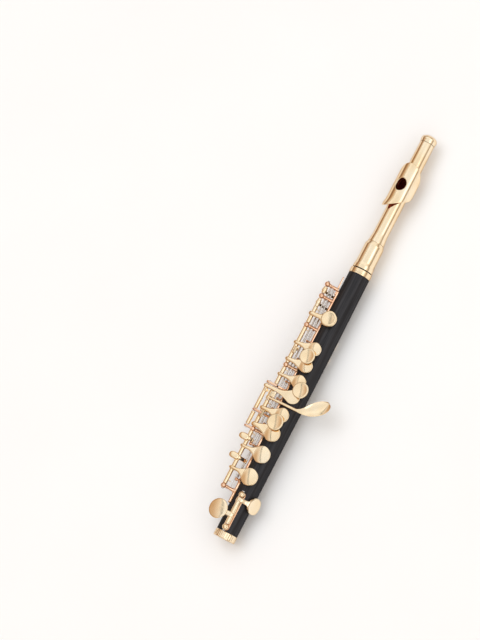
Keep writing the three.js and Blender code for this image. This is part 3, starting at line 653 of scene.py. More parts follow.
def pad(name, body, place, x, y, r, seat, node):
    b = Build(place)
    rr = r - 0.85
    prof = [(seat + 0.2, 0), (seat + 0.17, rr * 0.4), (seat + 0.15, rr * 0.75), (seat + 0.16, rr - 0.35), (seat + 0.26, rr - 0.1), (seat + 0.45, rr), (seat + 1.35, rr), (seat + 1.35, 0)]
    b.lathe(prof, (x, y, 0), (0, 0, 1), 48)
    b.object(name, body, PAD, [node], "pad_skin")


def section(cx, y, zc, w, ht, hb, p, dome=0.0, n=26):
    """One cross-section of an arm: a flat-bottomed lens whose top edge is rounded."""
    pts = []
    for i in range(n + 1):
        t = math.sin(math.pi / 2 * (2 * i / n - 1))
        z = ht * (max(0.0, 1 - abs(t) ** p)) ** (1 / p) + dome * (1 - t * t)
        pts.append((cx + w * t, y, zc + z))
    m = 8
    for i in range(1, m):
        t = math.cos(math.pi * i / m)
        z = -hb * (max(0.0, 1 - abs(t) ** 4)) ** 0.25
        pts.append((cx + w * t, y, zc + z))
    return pts


def teardrop(r, narrow, tangent):
    dt = tangent * r
    wt = math.sqrt(r * r - dt * dt)
    slope = dt / wt

    def width(d):
        if d <= dt:
            return math.sqrt(max(0.0, r * r - d * d))
        w = wt - slope * (d - dt)
        # ease into the narrow part
        k = 0.9
        return narrow + math.log1p(math.exp((w - narrow) / k)) * k if w - narrow < 8 else w
    return width


def arm_plate(b, cx, cy, r, arm_x, rod, z_cup, z_rod, narrow=1.12, tangent=0.5, rise=0.0, tip=2.55, flare=True, ht=0.55, dome=0.6):
    """The cup's top plate and its arm in one: teardrop over the cup, then a slim rounded bar over the rod."""
    width = teardrop(r, narrow, tangent)
    y_end = rod[0] + tip
    ds = [-r * math.cos(math.pi / 2 * i / 12) for i in range(12)]
    ds += [(y_end - cy) * i / 46 for i in range(47)]
    rings = []
    span = rod[0] - cy
    for d in ds:
        y = cy + d
        if d < 0:
            w = math.sqrt(max(0.0, r * r - d * d))
        else:
            w = width(d) if flare else narrow * 1.0
        blend = smooth((d - r * 0.5) / (r * 0.9 + 2.0))
        x = lerp(cx, arm_x, smooth(d / (r + 3)))
        over = (y - (y_end - 1.55)) / 1.55
        if over > 0:
            w *= math.sqrt(max(0.0, 1 - over * over)) * 0.999 + 0.001
        w = max(w, 0.02)
        z = lerp(z_cup, z_rod, smooth((d - r * 0.55) / max(1.0, span - r * 0.55)))
        z += rise * math.sin(math.pi * smooth((d - r * 0.6) / (span - r * 0.6)))
        fall = max(0.0, (y - rod[0]) / tip)
        z -= 0.75 * fall * fall
        h = lerp(ht * 0.62, ht, blend)
        small = min(1.0, w / 0.8)
        p = max(2.0, min(9.0, 2.0 + (w - 1.5) * 1.6))
        over_cup = max(0.0, 1 - (d / r) ** 2)
        rings.append(section(x, y, z, w, h * (0.35 + 0.65 * small), lerp(0.25, 0.75, blend) * (0.5 + 0.5 * small), p, max(0.14, dome * over_cup) * small))
    b.loft(rings)


def hub(b, x, rod, w=1.5, r=2.0):
    b.sleeve(x - w, x + w, rod, r, 0.9, 40, 0.3)


def hinge_tube(b, x0, x1, rod, r=1.5, rings=True):
    b.sleeve(x0, x1, rod, r, 0.9, 40, 0.14)
    if rings:
        for x in (x0 + 0.55, x1 - 0.55):
            b.sleeve(x - 0.4, x + 0.4, rod, r + 0.1, 0.9, 40, 0.08)


def finger_disc(name, body, place, x, y, r, sx, sy, sr, node):
    """A raised finger touch: a thin dished plate on a short stem."""
    b = Build(place)
    z = SEAT + 4.1
    prof = [(z + 0.1, 0), (z + 0.08, r * 0.5), (z + 0.04, r - 0.9), (z + 0.12, r - 0.35), (z + 0.35, r - 0.06), (z + 0.55, r), (z + 0.78, r - 0.05), (z + 0.98, r - 0.25), (z + 1.05, r - 0.55)]
    for k in (0.85, 0.7, 0.55, 0.4, 0.25, 0.12):
        rr = (r - 0.55) * k
        prof.append((z + 1.05 - 0.46 * (1 - k * k), rr))
    prof.append((z + 1.05 - 0.46, 0))
    b.lathe(prof, (x, y, 0), (0, 0, 1), 72)
    b.lathe(fillet([(SEAT + 2.4, 0), (SEAT + 2.4, sr + 0.35), (SEAT + 2.9, sr), (z + 0.3, sr), (z + 0.3, 0)], 0.15, steps=3), (sx, sy, 0), (0, 0, 1), 28)
    b.object(name, body, GOLD, [node], "gold_plate")


UPPER = [
    ("d_key", 45.9, -0.6, 6.3, 46.8, (34.9, 55.0)), ("e_key", 63.6, -1.2, 6.3, 63.8, (55.3, 75.9)), ("f_key", 80.0, -0.8, 6.0, 81.0, (79.3, 89.2)),
    ("f_sharp_key", 94.5, -0.9, 5.4, 93.9, (91.3, 100.0)), ("g_key", 120.7, -1.0, 5.2, 120.6, (113.2, 126.5)), ("a_key", 133.0, -0.1, 5.0, 132.8, (130.3, 140.0)),
    ("b_flat_key", 146.3, 0.0, 5.1, 145.9, (140.3, 158.6)), ("c_key", 170.3, 0.8, 5.8, 169.2, (162.3, 175.0)),
]


def slotted(b, x, y, z0, z1, r=0.45, head=0.78):
    """An upright adjusting screw with a slotted head."""
    b.rod((x, y, z0), (x, y, z1), r, 18, 0.08)
    b.rod((x, y, z1 - 0.05), (x, y, z1 + 0.22), head, 26, 0.06)
    for side in (-1, 1):
        arc = [(head * 0.95 * math.cos(t), side * max(0.13, head * 0.95 * math.sin(t))) for t in [math.pi * i / 14 for i in range(15)]]
        b.prism(arc, z1 + 0.16, z1 + 0.42, lambda u, v, w: (x + u * 0.866 - v * 0.5, y + u * 0.5 + v * 0.866, w))


def link(b, x0, x1, screw_x, over):
    """over: the arm that carries the adjusting screw; otherwise the small shelf it presses on."""
    if over:
        path = [(14.0, 11.3), (12.9, 12.2), (11.9, 12.85), (11.0, 12.95), (10.9, 13.35), (12.2, 13.4), (13.6, 12.7), (15.0, 11.7)]
        outline = fillet(path, 0.3, closed=True)
        b.prism(outline, x0, x0 + 1.5, lambda u, v, w: (w, u, v))
        bar = fillet([(x0, 11.0), (x1, 11.0), (x1, 12.5), (x0, 12.5)], 0.5, closed=True)
        b.prism(bar, 12.72, 13.42, lambda u, v, w: (u, v, w))
        slotted(b, screw_x, 11.75, 12.0, 13.5)
    else:
        outline = fillet([(14.2, 10.9), (12.6, 10.9), (10.9, 11.15), (10.8, 11.8), (12.4, 11.85), (14.4, 11.65)], 0.25, closed=True)
        b.prism(outline, x0, x1, lambda u, v, w: (w, u, v))


LINKS = {"f_key": (87.3, 92.5, 91.8, True), "f_sharp_key": (91.4, 93.6, 0, False), "a_key": (138.2, 142.3, 141.5, True), "b_flat_key": (140.6, 143.2, 0, False)}
SHAPES = {"d_key": (1.05, 0.62), "e_key": (1.05, 0.62), "f_key": (1.5, 0.42), "f_sharp_key": (1.25, 0.46), "g_key": (1.15, 0.55), "a_key": (1.4, 0.45), "b_flat_key": (1.3, 0.45)}
for name, x, y, r, arm_x, (t0, t1) in UPPER:
    place = key_place(0, ROD, -OPEN)
    b = Build(place)
    cup(b, x, y, r, SEAT)
    if name == "c_key":
        arm_plate(b, x, y, r - 0.15, arm_x, ROD, SEAT + 2.05, ROD[1] + 1.6, 1.55, 0.8, dome=0.1)
        prof = [(SEAT + 2.0, 0), (SEAT + 2.0, r - 0.35), (SEAT + 2.12, r - 0.08), (SEAT + 2.35, r), (SEAT + 2.6, r - 0.08), (SEAT + 2.75, r - 0.3), (SEAT + 2.8, r - 0.7)]
        prof += [(SEAT + 2.8 - 0.2 * (1 - k * k), (r - 0.7) * k) for k in (0.8, 0.6, 0.4, 0.2)] + [(SEAT + 2.6, 0)]
        b.lathe(prof, (x, y, 0), (0, 0, 1), 72)
    else:
        arm_plate(b, x, y, r - 0.1, arm_x, ROD, SEAT + 2.1, ROD[1] + 1.62, *SHAPES[name])
    hub(b, arm_x, ROD, 1.3, 2.0)
    hinge_tube(b, t0, t1, ROD)
    hx = t0 + 2.6 if name in ("d_key", "f_key", "a_key") else t1 - 1.6
    b.rod(on_rib(hx, ROD_R - 1.1), on_rib(hx, ROD_R - 2.7, -0.5), 0.36, 14, 0.1)
    b.ball(on_rib(hx, ROD_R - 2.75, -0.5), 0.46, 16)
    if name in LINKS:
        link(b, *LINKS[name])
    b.object(name + "_plated", name, GOLD, [name], "gold_plate")
    pad(name.replace("_key", "_pad") + "_skin", name, place, x, y, r, SEAT, name.replace("_key", "_pad"))
    if name == "f_key":
        finger_disc("f_touch", name, place, 88.0, -0.4, 6.15, 84.2, -0.6, 1.3, "f_finger_disc")
    if name == "g_key":
        finger_disc("g_touch", name, place, 115.4, -6.6, 6.0, 118.4, -3.6, 1.2, "g_finger_disc")
    if name == "a_key":
        finger_disc("a_touch", name, place, 139.5, 0.9, 5.8, 136.2, 0.4, 1.0, "a_finger_disc")

# G sharp cup on the outer rod
place = key_place(0, OUTER, 0)
b = Build(place)
gs = SEAT + 0.1
cup(b, 109.5, -1.2, 5.2, gs, 2.0, 0.1)
arm_plate(b, 109.5, -1.2, 5.1, 109.0, OUTER, gs + 1.75, OUTER[1] + 1.4, 1.35, 0.5, rise=0.55, tip=2.3, dome=0.1)
hub(b, 109.0, OUTER, 1.3, 1.8)
hinge_tube(b, 91.4, 110.7, OUTER, 1.42)
lug = fillet([(17.5, 12.75), (19.0, 11.9), (20.0, 12.8), (19.4, 13.3), (17.6, 13.6)], 0.3, closed=True)
b.prism(lug, 105.0, 107.2, lambda u, v, w: (w, u, v))
b.object("g_sharp_key_plated", "g_sharp_key", GOLD, ["g_sharp_key"], "gold_plate")
pad("g_sharp_pad_skin", "g_sharp_key", place, 109.5, -1.2, 5.2, gs, "g_sharp_pad")

# G sharp lever with its long spoon
b = Build()
LEFT = [(101.25, -7.5), (101.1, -10.5), (101.25, -14.0), (101.9, -17.6), (103.2, -21.0), (105.2, -24.4), (107.8, -27.2), (110.6, -28.9), (113.0, -29.35), (114.9, -28.9), (116.1, -27.6)]
RIGHT = [(103.0, -7.5), (103.75, -9.4), (105.3, -11.4), (107.7, -13.4), (110.2, -15.2), (112.4, -17.1), (114.3, -19.3), (115.8, -21.8), (116.6, -24.0), (116.85, -25.6), (116.6, -26.9)]


def resample(points, n):
    d = [0]
    for p, q in zip(points, points[1:]):
        d.append(d[-1] + math.dist(p, q))
    xs = [(s, p[0]) for s, p in zip(d, points)]
    ys = [(s, p[1]) for s, p in zip(d, points)]
    return [(soft_table(xs, d[-1] * i / (n - 1)), soft_table(ys, d[-1] * i / (n - 1))) for i in range(n)]


L2, R2 = resample(LEFT, 44), resample(RIGHT, 44)
rings = []
for i, (l, r) in enumerate(zip(L2, R2)):
    s = i / 43
    zc = lerp(10.6, 9.75, smooth(s * 1.6)) - 0.25 * max(0, s - 0.55)
    dish = 1.25 * smooth((s - 0.1) / 0.32) * math.sqrt(max(0.0, 1 - (max(0.0, s - 0.6) / 0.4) ** 2))
    th = lerp(1.0, 0.72, smooth(s / 0.35)) * (1 - 0.75 * smooth((s - 0.93) / 0.07))
    ring = []
    n = 24
    for k in range(n + 1):
        t = math.sin(math.pi / 2 * (2 * k / n - 1))
        u = (t + 1) / 2
        edge = max(0.0, 1 - abs(t) ** 10) ** 0.1
        z = zc + th * 0.5 * edge - dish * (1 - t * t) * (0.75 + 0.5 * u) + (1 - smooth(s / 0.2)) * 0.25 * (1 - t * t)
        ring.append((lerp(l[0], r[0], u), lerp(l[1], r[1], u), z))
    m = 12
    for k in range(1, m):
        t = math.cos(math.pi * k / m)
        u = (t + 1) / 2
        edge = max(0.0, 1 - abs(t) ** 6) ** (1 / 6)
        z = zc - th * 0.5 * edge - dish * (1 - t * t) * (0.75 + 0.5 * u)
        ring.append((lerp(l[0], r[0], u), lerp(l[1], r[1], u), z))
    rings.append(ring)
b.loft(rings)
rings = []
for i in range(41):
    y = lerp(-9.4, 16.6, i / 40)
    zt = soft_table([(-9.4, 10.9), (-5, 11.45), (0, 11.95), (6, 12.35), (11, 12.45), (14.66, 12.15), (16.6, 11.3)], y)
    zb = soft_table([(-9.4, 9.8), (-5, 10.35), (0, 10.75), (6, 10.95), (11, 11.0), (14.66, 11.0), (16.6, 10.9)], y)
    w = 0.95 if y < 15.5 else 0.95 * math.sqrt(max(0.0, 1 - ((y - 15.5) / 1.12) ** 2))
    w = max(w, 0.02)
    zc = (zt + zb) / 2
    sec = [(102.15 + w * math.cos(t), y, zc + (zt - zb) / 2 * math.sin(t)) for t in [PI2 * k / 28 for k in range(28)]]
    rings.append(sec)
b.loft(rings)
hub(b, 102.2, ROD, 1.2, 2.0)
hinge_tube(b, 100.4, 110.7, ROD)
tail = fillet([(14.4, 11.1), (17.0, 11.4), (17.9, 11.6), (17.9, 12.4), (14.6, 12.3)], 0.25, closed=True)
b.prism(tail, 105.2, 107.0, lambda u, v, w: (w, u, v))
block = fillet([(10.6, 11.6), (12.4, 12.0), (14.2, 11.7), (15.8, 11.3), (16.1, 12.0), (14.6, 12.95), (12.3, 13.25), (10.4, 12.6)], 0.35, closed=True)
b.prism(block, 103.3, 107.2, lambda u, v, w: (w, u, v))
slotted(b, 104.3, 12.2, 12.6, 13.35, 0.4, 0.7)
slotted(b, 106.2, 12.2, 12.6, 13.35, 0.4, 0.7)
b.object("g_sharp_lever_plated", "g_sharp_lever", GOLD, ["g_sharp_lever"], "gold_plate")

# D sharp key
TURN = 74
rod = local_rod(EB_ROD, TURN)
place = key_place(TURN, rod, 0)
b = Build(place)
seat = 8.6
cup(b, 29.4, 0, 6.1, seat)
width = teardrop(6.0, 1.5, 0.74)
rings = []
path = [(-6.0, seat + 2.1), (0, seat + 2.1), (3.5, seat + 2.12), (6.2, seat + 1.7), (8.3, seat - 0.4), (rod[0] + 0.9, rod[1] + 2.6), (rod[0] + 1.9, rod[1] + 0.9)]
total = [0]
for p, q in zip(path, path[1:]):
    total.append(total[-1] + math.dist(p, q))
ys = list(zip(total, [p[0] for p in path]))
zs = list(zip(total, [p[1] for p in path]))
for i in range(61):
    s = total[-1] * (i / 60)
    if i < 14:
        s = 6.0 - 6.0 * math.cos(math.pi / 2 * i / 14)
    else:
        s = 6.0 + (total[-1] - 6.0) * (i - 14) / 46
    d = s - 6.0
    w = math.sqrt(max(0.0, 36 - d * d)) if d < 0 else width(d)
    over = (s - (total[-1] - 1.4)) / 1.4
    if over > 0:
        w *= math.sqrt(max(0.0, 1 - over * over))
    w = max(w, 0.02)
    y, z = soft_table(ys, s), soft_table(zs, s)
    y2, z2 = soft_table(ys, min(total[-1], s + 0.05)), soft_table(zs, min(total[-1], s + 0.05))
    y1, z1 = soft_table(ys, max(0, s - 0.05)), soft_table(zs, max(0, s - 0.05))
    ty, tz = y2 - y1, z2 - z1
    ln = math.hypot(ty, tz) or 1
    ny, nz = -tz / ln, ty / ln
    x = lerp(29.4, 28.9, smooth(d / 8))
    ring = []
    for px, _, pz in section(x, 0, 0, w, 0.45, 0.35, max(2.0, min(9.0, 2 + (w - 1.5) * 1.6)), 0.15):
        ring.append((px, y + ny * pz, z + nz * pz))
    rings.append(ring)
b.loft(rings)
hub(b, 28.6, rod, 1.6, 2.15)
b.sleeve(10.3, 30.2, rod, 1.7, 0.9, 44, 0.2)
for x in (11.0, 15.0, 19.0, 25.6):
    b.sleeve(x - 0.35, x + 0.35, rod, 1.8, 0.9, 44, 0.1)
# the round touch, convex, tipped towards the player
tilt = turned_about_x(-10)
back = turned_about_x(-TURN)
tb = Build(lambda p: place(back((lambda q: (q[0], q[1] + 7.3, q[2] + 0.2))(tilt(p)))))
prof = [(11.95, 0), (11.95, 5.5), (12.05, 6.6), (12.2, 7.05), (12.45, 7.25), (12.7, 7.2), (12.88, 7.0), (13.0, 6.6)]
prof += [(13.0 + 0.32 * (1 - k * k), 6.6 * k) for k in (0.85, 0.7, 0.5, 0.3, 0.15)] + [(13.32, 0)]
tb.lathe(prof, (17.0, 0, 0), (0, 0, 1), 80)
b.v_extra = tb
rings = []
rb = Build(lambda p: place(back(p)))
for i in range(25):
    y = lerp(-2.6, 8.6, i / 24)
    zc = soft_table([(-2.6, 11.6), (-0.8, 12.35), (2, 12.55), (5, 12.75), (8.6, 12.55)], y)
    w = lerp(1.7, 2.3, smooth((y - 2) / 6))
    if y < -1.2:
        w *= math.sqrt(max(0.0, 1 - ((-1.2 - y) / 1.42) ** 2))
    w = max(w, 0.02)
    rings.append(section(16.9, y, zc, w, 0.5, 0.75, 2.6, 0.1))
rb.loft(rings)
n = len(b.v)
for extra in (tb, rb):
    n = len(b.v)
    b.v += extra.v
    b.f += [tuple(i + n for i in f) for f in extra.f]
b.object("d_sharp_key_plated", "d_sharp_key", GOLD, ["d_sharp_key"], "gold_plate")
pad("d_sharp_pad_skin", "d_sharp_key", place, 29.4, 0, 6.1, seat, "d_sharp_pad")

# trill levers: long slim tubes, each with a mushroom touch
for name, tx, x0, axis in (("trill_lever_lower", 55.0, 42.6, TRILL_1), ("trill_lever_upper", 70.0, 69.15, TRILL_2)):
    y, z = axis
    b = Build()
    b.rod((x0, *axis), (191.5, *axis), 0.62, 24, 0.1)
    for x in (x0 + 1.0, 190.3):
        b.sleeve(x - 0.9, x + 0.9, axis, 0.75, 0.3, 24, 0.1)
    long_tube = b.object(name + "_tube", name, STEEL, [], "steel")
    b = Build()
    sx = max(tx, x0 + 0.95)
    path = [(y, z - 0.2), (y + 0.1, z + 2.4), (11.6, 10.2), (12.4, 12.2), (14.0, 13.05), (16.2, 13.35)]
    tt = [0]
    for p, q in zip(path, path[1:]):
        tt.append(tt[-1] + math.dist(p, q))
    pys, pzs = list(zip(tt, [p[0] for p in path])), list(zip(tt, [p[1] for p in path]))
    rings = []
    for i in range(33):
        s = tt[-1] * i / 32
        cy, cz = soft_table(pys, s), soft_table(pzs, s)
        ay, az = soft_table(pys, min(tt[-1], s + 0.05)) - soft_table(pys, max(0, s - 0.05)), soft_table(pzs, min(tt[-1], s + 0.05)) - soft_table(pzs, max(0, s - 0.05))
        ln = math.hypot(ay, az) or 1
        ny, nz = -az / ln, ay / ln
        rings.append([(sx + 1.35 * math.cos(t), cy + ny * 0.55 * math.sin(t), cz + nz * 0.55 * math.sin(t)) for t in [PI2 * k / 20 for k in range(20)]])
    b.loft(rings)
    b.sleeve(sx - 1.4, sx + 1.4, axis, 1.05, 0.3, 28, 0.15)
    rings = []
    for h, k in ((12.95, 0.5), (13.0, 0.76), (13.15, 0.93), (13.42, 1.0), (13.8, 0.99), (14.15, 0.91), (14.42, 0.77), (14.6, 0.58), (14.7, 0.38), (14.74, 0.16)):
        rings.append([(tx + 2.5 * k * math.copysign(abs(math.cos(t)) ** 0.78, math.cos(t)), 16.7 + 3.9 * k * math.copysign(abs(math.sin(t)) ** 0.86, math.sin(t)), h) for t in [PI2 * j / 48 for j in range(48)]])
    b.loft(rings)
    b.object(name + "_touch", name, GOLD, [name], "gold_plate", 45)

# trill cups on the hidden side, hinged on the main rod
for name, x, (t0, t1) in (("trill_cup_lower", 178.6, (175.3, 181.3)), ("trill_cup_upper", 188.4, (186.0, 190.7))):
    rod = local_rod(ROD, -125)
    place = key_place(-125, rod, 0)
    seat = 8.95
    b = Build(place)
    cup(b, x, 0, 3.9, seat, 1.95, 0.2, 48)
    path = [(3.0, seat + 2.1), (-3, seat + 2.15), (-8.6, seat + 2.35), (-12.6, 10.3), (-14.9, 8.4), (rod[0] - 0.4, rod[1] + 1.5)]
    tt = [0]
    for p, q in zip(path, path[1:]):
        tt.append(tt[-1] + math.dist(p, q))
    pys, pzs = list(zip(tt, [p[0] for p in path])), list(zip(tt, [p[1] for p in path]))
    rings = []
    for i in range(41):
        s = tt[-1] * i / 40
        cy, cz = soft_table(pys, s), soft_table(pzs, s)
        ay, az = soft_table(pys, min(tt[-1], s + 0.05)) - soft_table(pys, max(0, s - 0.05)), soft_table(pzs, min(tt[-1], s + 0.05)) - soft_table(pzs, max(0, s - 0.05))
        ln = math.hypot(ay, az) or 1
        ny, nz = -az / ln, ay / ln
        w = lerp(0.5, 0.98, smooth(s / 2))
        rings.append([(x + w * math.cos(t), cy + ny * 0.5 * math.sin(t), cz + nz * 0.5 * math.sin(t)) for t in [PI2 * k / 20 for k in range(20)]])
    b.loft(rings)
    b.sleeve(t0, t1, rod, 1.48, 0.9, 40, 0.14)
    hub(b, x, rod, 1.1, 1.85)
    b.object(name + "_plated", name, GOLD, [name], "gold_plate")
    pad(name.replace("_cup", "_pad") + "_skin", name, place, x, 0, 3.9, seat, name.replace("_cup", "_pad"))

# thumb keys underneath
for name, x, (t0, t1) in (("thumb_b_flat_key", 146.5, (141.2, 151.8)), ("thumb_b_key", 158.0, (152.1, 163.2))):
    rod = (-THUMB_ROD[0], -THUMB_ROD[1])
    place = key_place(180, rod, 6.5)
    b = Build(lambda p: place((p[0], p[1], p[2])))
    cup(b, x, 0, 4.9, SEAT)
    mirror = Build(lambda p: place((p[0], -p[1], p[2])))
    arm_plate(mirror, x, 0, 4.8, x, (-rod[0], rod[1]), SEAT + 2.1, rod[1] + 1.5, 1.45, 0.5, rise=0.5, tip=2.3)
    n = len(b.v)
    b.v += mirror.v
    b.f += [tuple(i + n for i in f) for f in mirror.f]
    hub(b, x, rod, 1.4, 1.95)
    hinge_tube(b, t0, t1, rod)
    b.object(name + "_plated", name, GOLD, [name], "gold_plate")
    pad(name.replace("_key", "_pad") + "_skin", name, place, x, 0, 4.9, SEAT, name.replace("_key", "_pad"))

# needle springs, each set in a post and bent slightly towards its key
b = Build()


def wire(b, points, r, seg=10):
    rings = []
    n = len(points)
    for i, p in enumerate(points):
        a = Vector(points[min(n - 1, i + 1)]) - Vector(points[max(0, i - 1)])
        a.normalize()
        u = a.cross(Vector((0, 0, 1))).normalized()
        v = a.cross(u)
        k = r * (1 - 0.45 * i / (n - 1))
        rings.append([tuple(Vector(p) + (u * math.cos(t) + v * math.sin(t)) * k) for t in [PI2 * j / seg for j in range(seg)]])
    b.loft(rings)


for x0, x1 in ((127.6, 115.5), (159.6, 148.0), (182.9, 171.4), (76.7, 64.5), (34.0, 44.6), (78.3, 84.4), (129.2, 136.5), (161.2, 167.6), (184.5, 190.0), (192.2, 187.6)):
    pts = []
    for i in range(9):
        t = i / 8
        pts.append(on_rib(lerp(x0, x1, t), 13.0 + 0.5 * t, -1.5 + 0.5 * t * t))
    wire(b, pts, 0.24)
b.object("needle_springs", "body_joint", STEEL, ["needle_spring_1", "needle_spring_2", "needle_spring_3", "needle_spring_4"], "steel")

# ---------------------------------------------------------------- head joint
b = Build()
b.lathe(fillet([(214.0, 6.8), (214.0, 7.62), (216.9, 7.55), (218.8, 7.15), (225, 7.13), (233.0, 7.12), (235.4, 6.3), (235.4, 5.8), (232.9, 5.8), (232.9, 6.8)],
               [0.05, 0.25, 0.8, 0.9, 0, 0.7, 0.12, 0.02, 0.05, 0.05], closed=True, steps=6), seg=128, closed=True)
b.object("head_barrel_spun", "head_socket", GOLD_TUBE, ["head_barrel"], "gold_plate", 35)

b = Build()
b.lathe(fillet([(233.3, 5.05), (317.5, 5.05), (317.5, 5.45), (300, 5.45), (262, 5.45), (243.5, 5.45), (241.6, 5.52), (238.9, 5.84), (236.1, 6.13), (235.75, 6.05), (235.75, 5.5), (233.3, 5.5)],
               [0.02, 0.02, 0.06, 0, 0, 1.2, 1.0, 0.8, 0.12, 0.1, 0.02, 0.02], closed=True, steps=5), seg=128, closed=True)
tube = b.object("head_tube_drawn", angle=30)


def emb(u, v, w):
    """u along the bore, v across, w radial at the embouchure."""
    y, z = v, w
    c, s = math.cos(-EMB_ANGLE), math.sin(-EMB_ANGLE)
    return (EMB_X + u, y * c - z * s, y * s + z * c)


c = Build()
c.prism([(EMB_A * math.cos(PI2 * k / 72), EMB_B * math.sin(PI2 * k / 72)) for k in range(72)], 2.2, 7.5, emb)
combine(tube, c.object("emb_cut"), "DIFFERENCE")
tube.data.materials.clear()
tube.data.materials.append(GOLD_TUBE)
tube.data.materials.append(PAINTED_BORE_SHADE)
# painted shade: the faces inside the bore take the dark red-brown painted shade colour
for poly in tube.data.polygons:
    c0 = poly.center
    y, z = c0.y * 1000 - SHIFT_Y, c0.z * 1000 - SHIFT_Z
    if math.hypot(y, z) < 5.2 and 236 < c0.x * 1000 + MID_X < 317.4:
        poly.material_index = 1
tube.data.shade_smooth()
tube.data.set_sharp_from_angle(angle=math.radians(30))
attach(tube, "head_joint")
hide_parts("head_tube")

# lip plate, as a closed sheet from the hole's edge to its outline
EDGE = [(-98, 277.5, 286.0), (-94, 275.4, 288.4), (-88, 273.6, 290.2), (-77, 272.2, 292.4), (-65, 271.2, 293.9), (-42, 269.2, 296.6), (-20, 267.2, 298.0), (10, 264.6, 298.4),
        (40, 262.6, 296.9), (62, 263.6, 293.6), (76, 268.8, 289.0), (84, 273.8, 283.8)]
R_PLATE = 8.65
outline = []
left = [(math.radians(a) * R_PLATE, xa - EMB_X) for a, xa, _ in EDGE]
right = [(math.radians(a) * R_PLATE, xb - EMB_X) for a, _, xb in EDGE]
loop = [(x, s) for s, x in left] + [(x, s) for s, x in reversed(right)]
S0 = EMB_ANGLE * R_PLATE
# polar outline about the hole's centre
polar = []
m = len(loop)
fine = []
for i in range(m):
    p0, p1, p2, p3 = loop[i - 1], loop[i], loop[(i + 1) % m], loop[(i + 2) % m]
    for k in range(12):
        t = k / 12
        q = []
        for j in (0, 1):
            q.append(0.5 * ((2 * p1[j]) + (-p0[j] + p2[j]) * t + (2 * p0[j] - 5 * p1[j] + 4 * p2[j] - p3[j]) * t * t + (-p0[j] + 3 * p1[j] - 3 * p2[j] + p3[j]) * t**3))
        fine.append(q)
N = 160


def cast(angle):
    dx, ds = math.cos(angle), math.sin(angle)
    best = None
    for i in range(len(fine)):
        (x1, s1), (x2, s2) = fine[i], fine[(i + 1) % len(fine)]
        s1, s2 = s1 - S0, s2 - S0
        den = dx * (s2 - s1) - ds * (x2 - x1)
        if abs(den) < 1e-9:
            continue
        t = (x1 * (s2 - s1) - s1 * (x2 - x1)) / den
        u = (x1 * ds - s1 * dx) / den
        if t > 0 and -1e-6 <= u <= 1 + 1e-6:
            best = t if best is None else max(best, t)
    return best


def plate_radius(angle, lift):
    """The plate's radius at an angle from +Z: the far wing runs a little flatter, with a soft crease where it starts."""
    a = math.degrees(angle)
    flat = 0.0
    if a < -38:
        t = min(1.0, (-38 - a) / 58)
        flat = 0.42 * math.sin(math.pi * t) * smooth((-38 - a) / 3)
    return R_PLATE - 0.8 + lift - flat


b = Build()
rings = []
for k in range(N):
    ang = PI2 * k / N
    far = cast(ang)
    hx, hs = EMB_A * math.cos(ang), EMB_B * math.sin(ang)
    near = 1.0 / math.sqrt((math.cos(ang) / EMB_A) ** 2 + (math.sin(ang) / EMB_B) ** 2)
    span = far - near
    prof = [(near + 0.02, 0.1), (near, 0.3), (near + 0.03, 0.5), (near + 0.14, 0.66), (near + 0.32, 0.76), (near + 0.6, 0.8)]
    prof += [(near + 0.6 + (span - 1.1) * t, 0.8) for t in (0.08, 0.16, 0.24, 0.32, 0.4, 0.48, 0.56, 0.64, 0.72, 0.8, 0.88, 0.94)]
    prof += [(far - 0.5, 0.8), (far - 0.25, 0.75), (far - 0.08, 0.62), (far, 0.42), (far - 0.06, 0.2), (far - 0.22, 0.05), (far - 0.45, 0.0)]
    prof += [(near + 0.5 + (span - 1.0) * t, 0.0) for t in (0.88, 0.72, 0.56, 0.4, 0.24, 0.1)] + [(near + 0.4, 0.0), (near + 0.12, 0.02)]
    ring = []
    for d, lift in prof:
        x, s = d * math.cos(ang), d * math.sin(ang)
        a = EMB_ANGLE + s / R_PLATE
        corner = smooth((270.5 - EMB_X - x) / 8.5) * smooth((math.degrees(a) + 5) / 45)
        r = plate_radius(a, lift) + 0.9 * corner
        ring.append((EMB_X + x, r * math.sin(a), r * math.cos(a)))
    rings.append(ring)
m = len(rings[0])
verts = [p for ring in rings for p in ring]
faces = [(i * m + k, i * m + (k + 1) % m, ((i + 1) % N) * m + (k + 1) % m, ((i + 1) % N) * m + k) for i in range(N) for k in range(m)]
b.shell(verts, faces)
lip = b.object("lip_plate_formed", "head_joint", GOLD_TUBE, ["lip_plate"], "gold_plate", 40)
lip.data.materials.append(PAINTED_BORE_SHADE)
# painted shade: the plate's underside faces take the dark red-brown painted shade colour
for poly in lip.data.polygons:
    q = poly.center
    y, z = q.y * 1000 - SHIFT_Y, q.z * 1000 - SHIFT_Z
    nrm = poly.normal
    if math.hypot(y, z) < R_PLATE + 0.6 and (nrm.y * y + nrm.z * z) < -0.5 * math.hypot(y, z):
        poly.material_index = 1

# riser between the tube and the lip plate, coloured all over with the dark red-brown painted shade of the hole's inside
b = Build()
rings = []
for k in range(120):
    ang = PI2 * k / 120
    ring = []
    for e, lift in ((0.05, 0.0), (0.0, 0.12), (0.0, 1.0), (0.0, 1.9), (0.02, 2.1), (0.9, 2.12), (0.75, 1.6), (0.7, 1.0), (0.85, 0.45), (1.2, 0.12), (1.3, 0.0)):
        x, s = (EMB_A + e) * math.cos(ang), (EMB_B + e) * math.sin(ang)
        r = 5.5 + lift * (7.83 - 5.5) / 2.12
        w = math.sqrt(max(0.0, r * r - s * s))
        ring.append(emb(x, s, w))
    rings.append(ring)
m = len(rings[0])
verts = [p for ring in rings for p in ring]
faces = [(i * m + k, i * m + (k + 1) % m, ((i + 1) % 120) * m + (k + 1) % m, ((i + 1) % 120) * m + k) for i in range(120) for k in range(m)]
b.shell(verts, faces)
b.object("riser_wall", "head_joint", PAINTED_BORE_SHADE, ["lip_riser"], "gold_plate", 40)

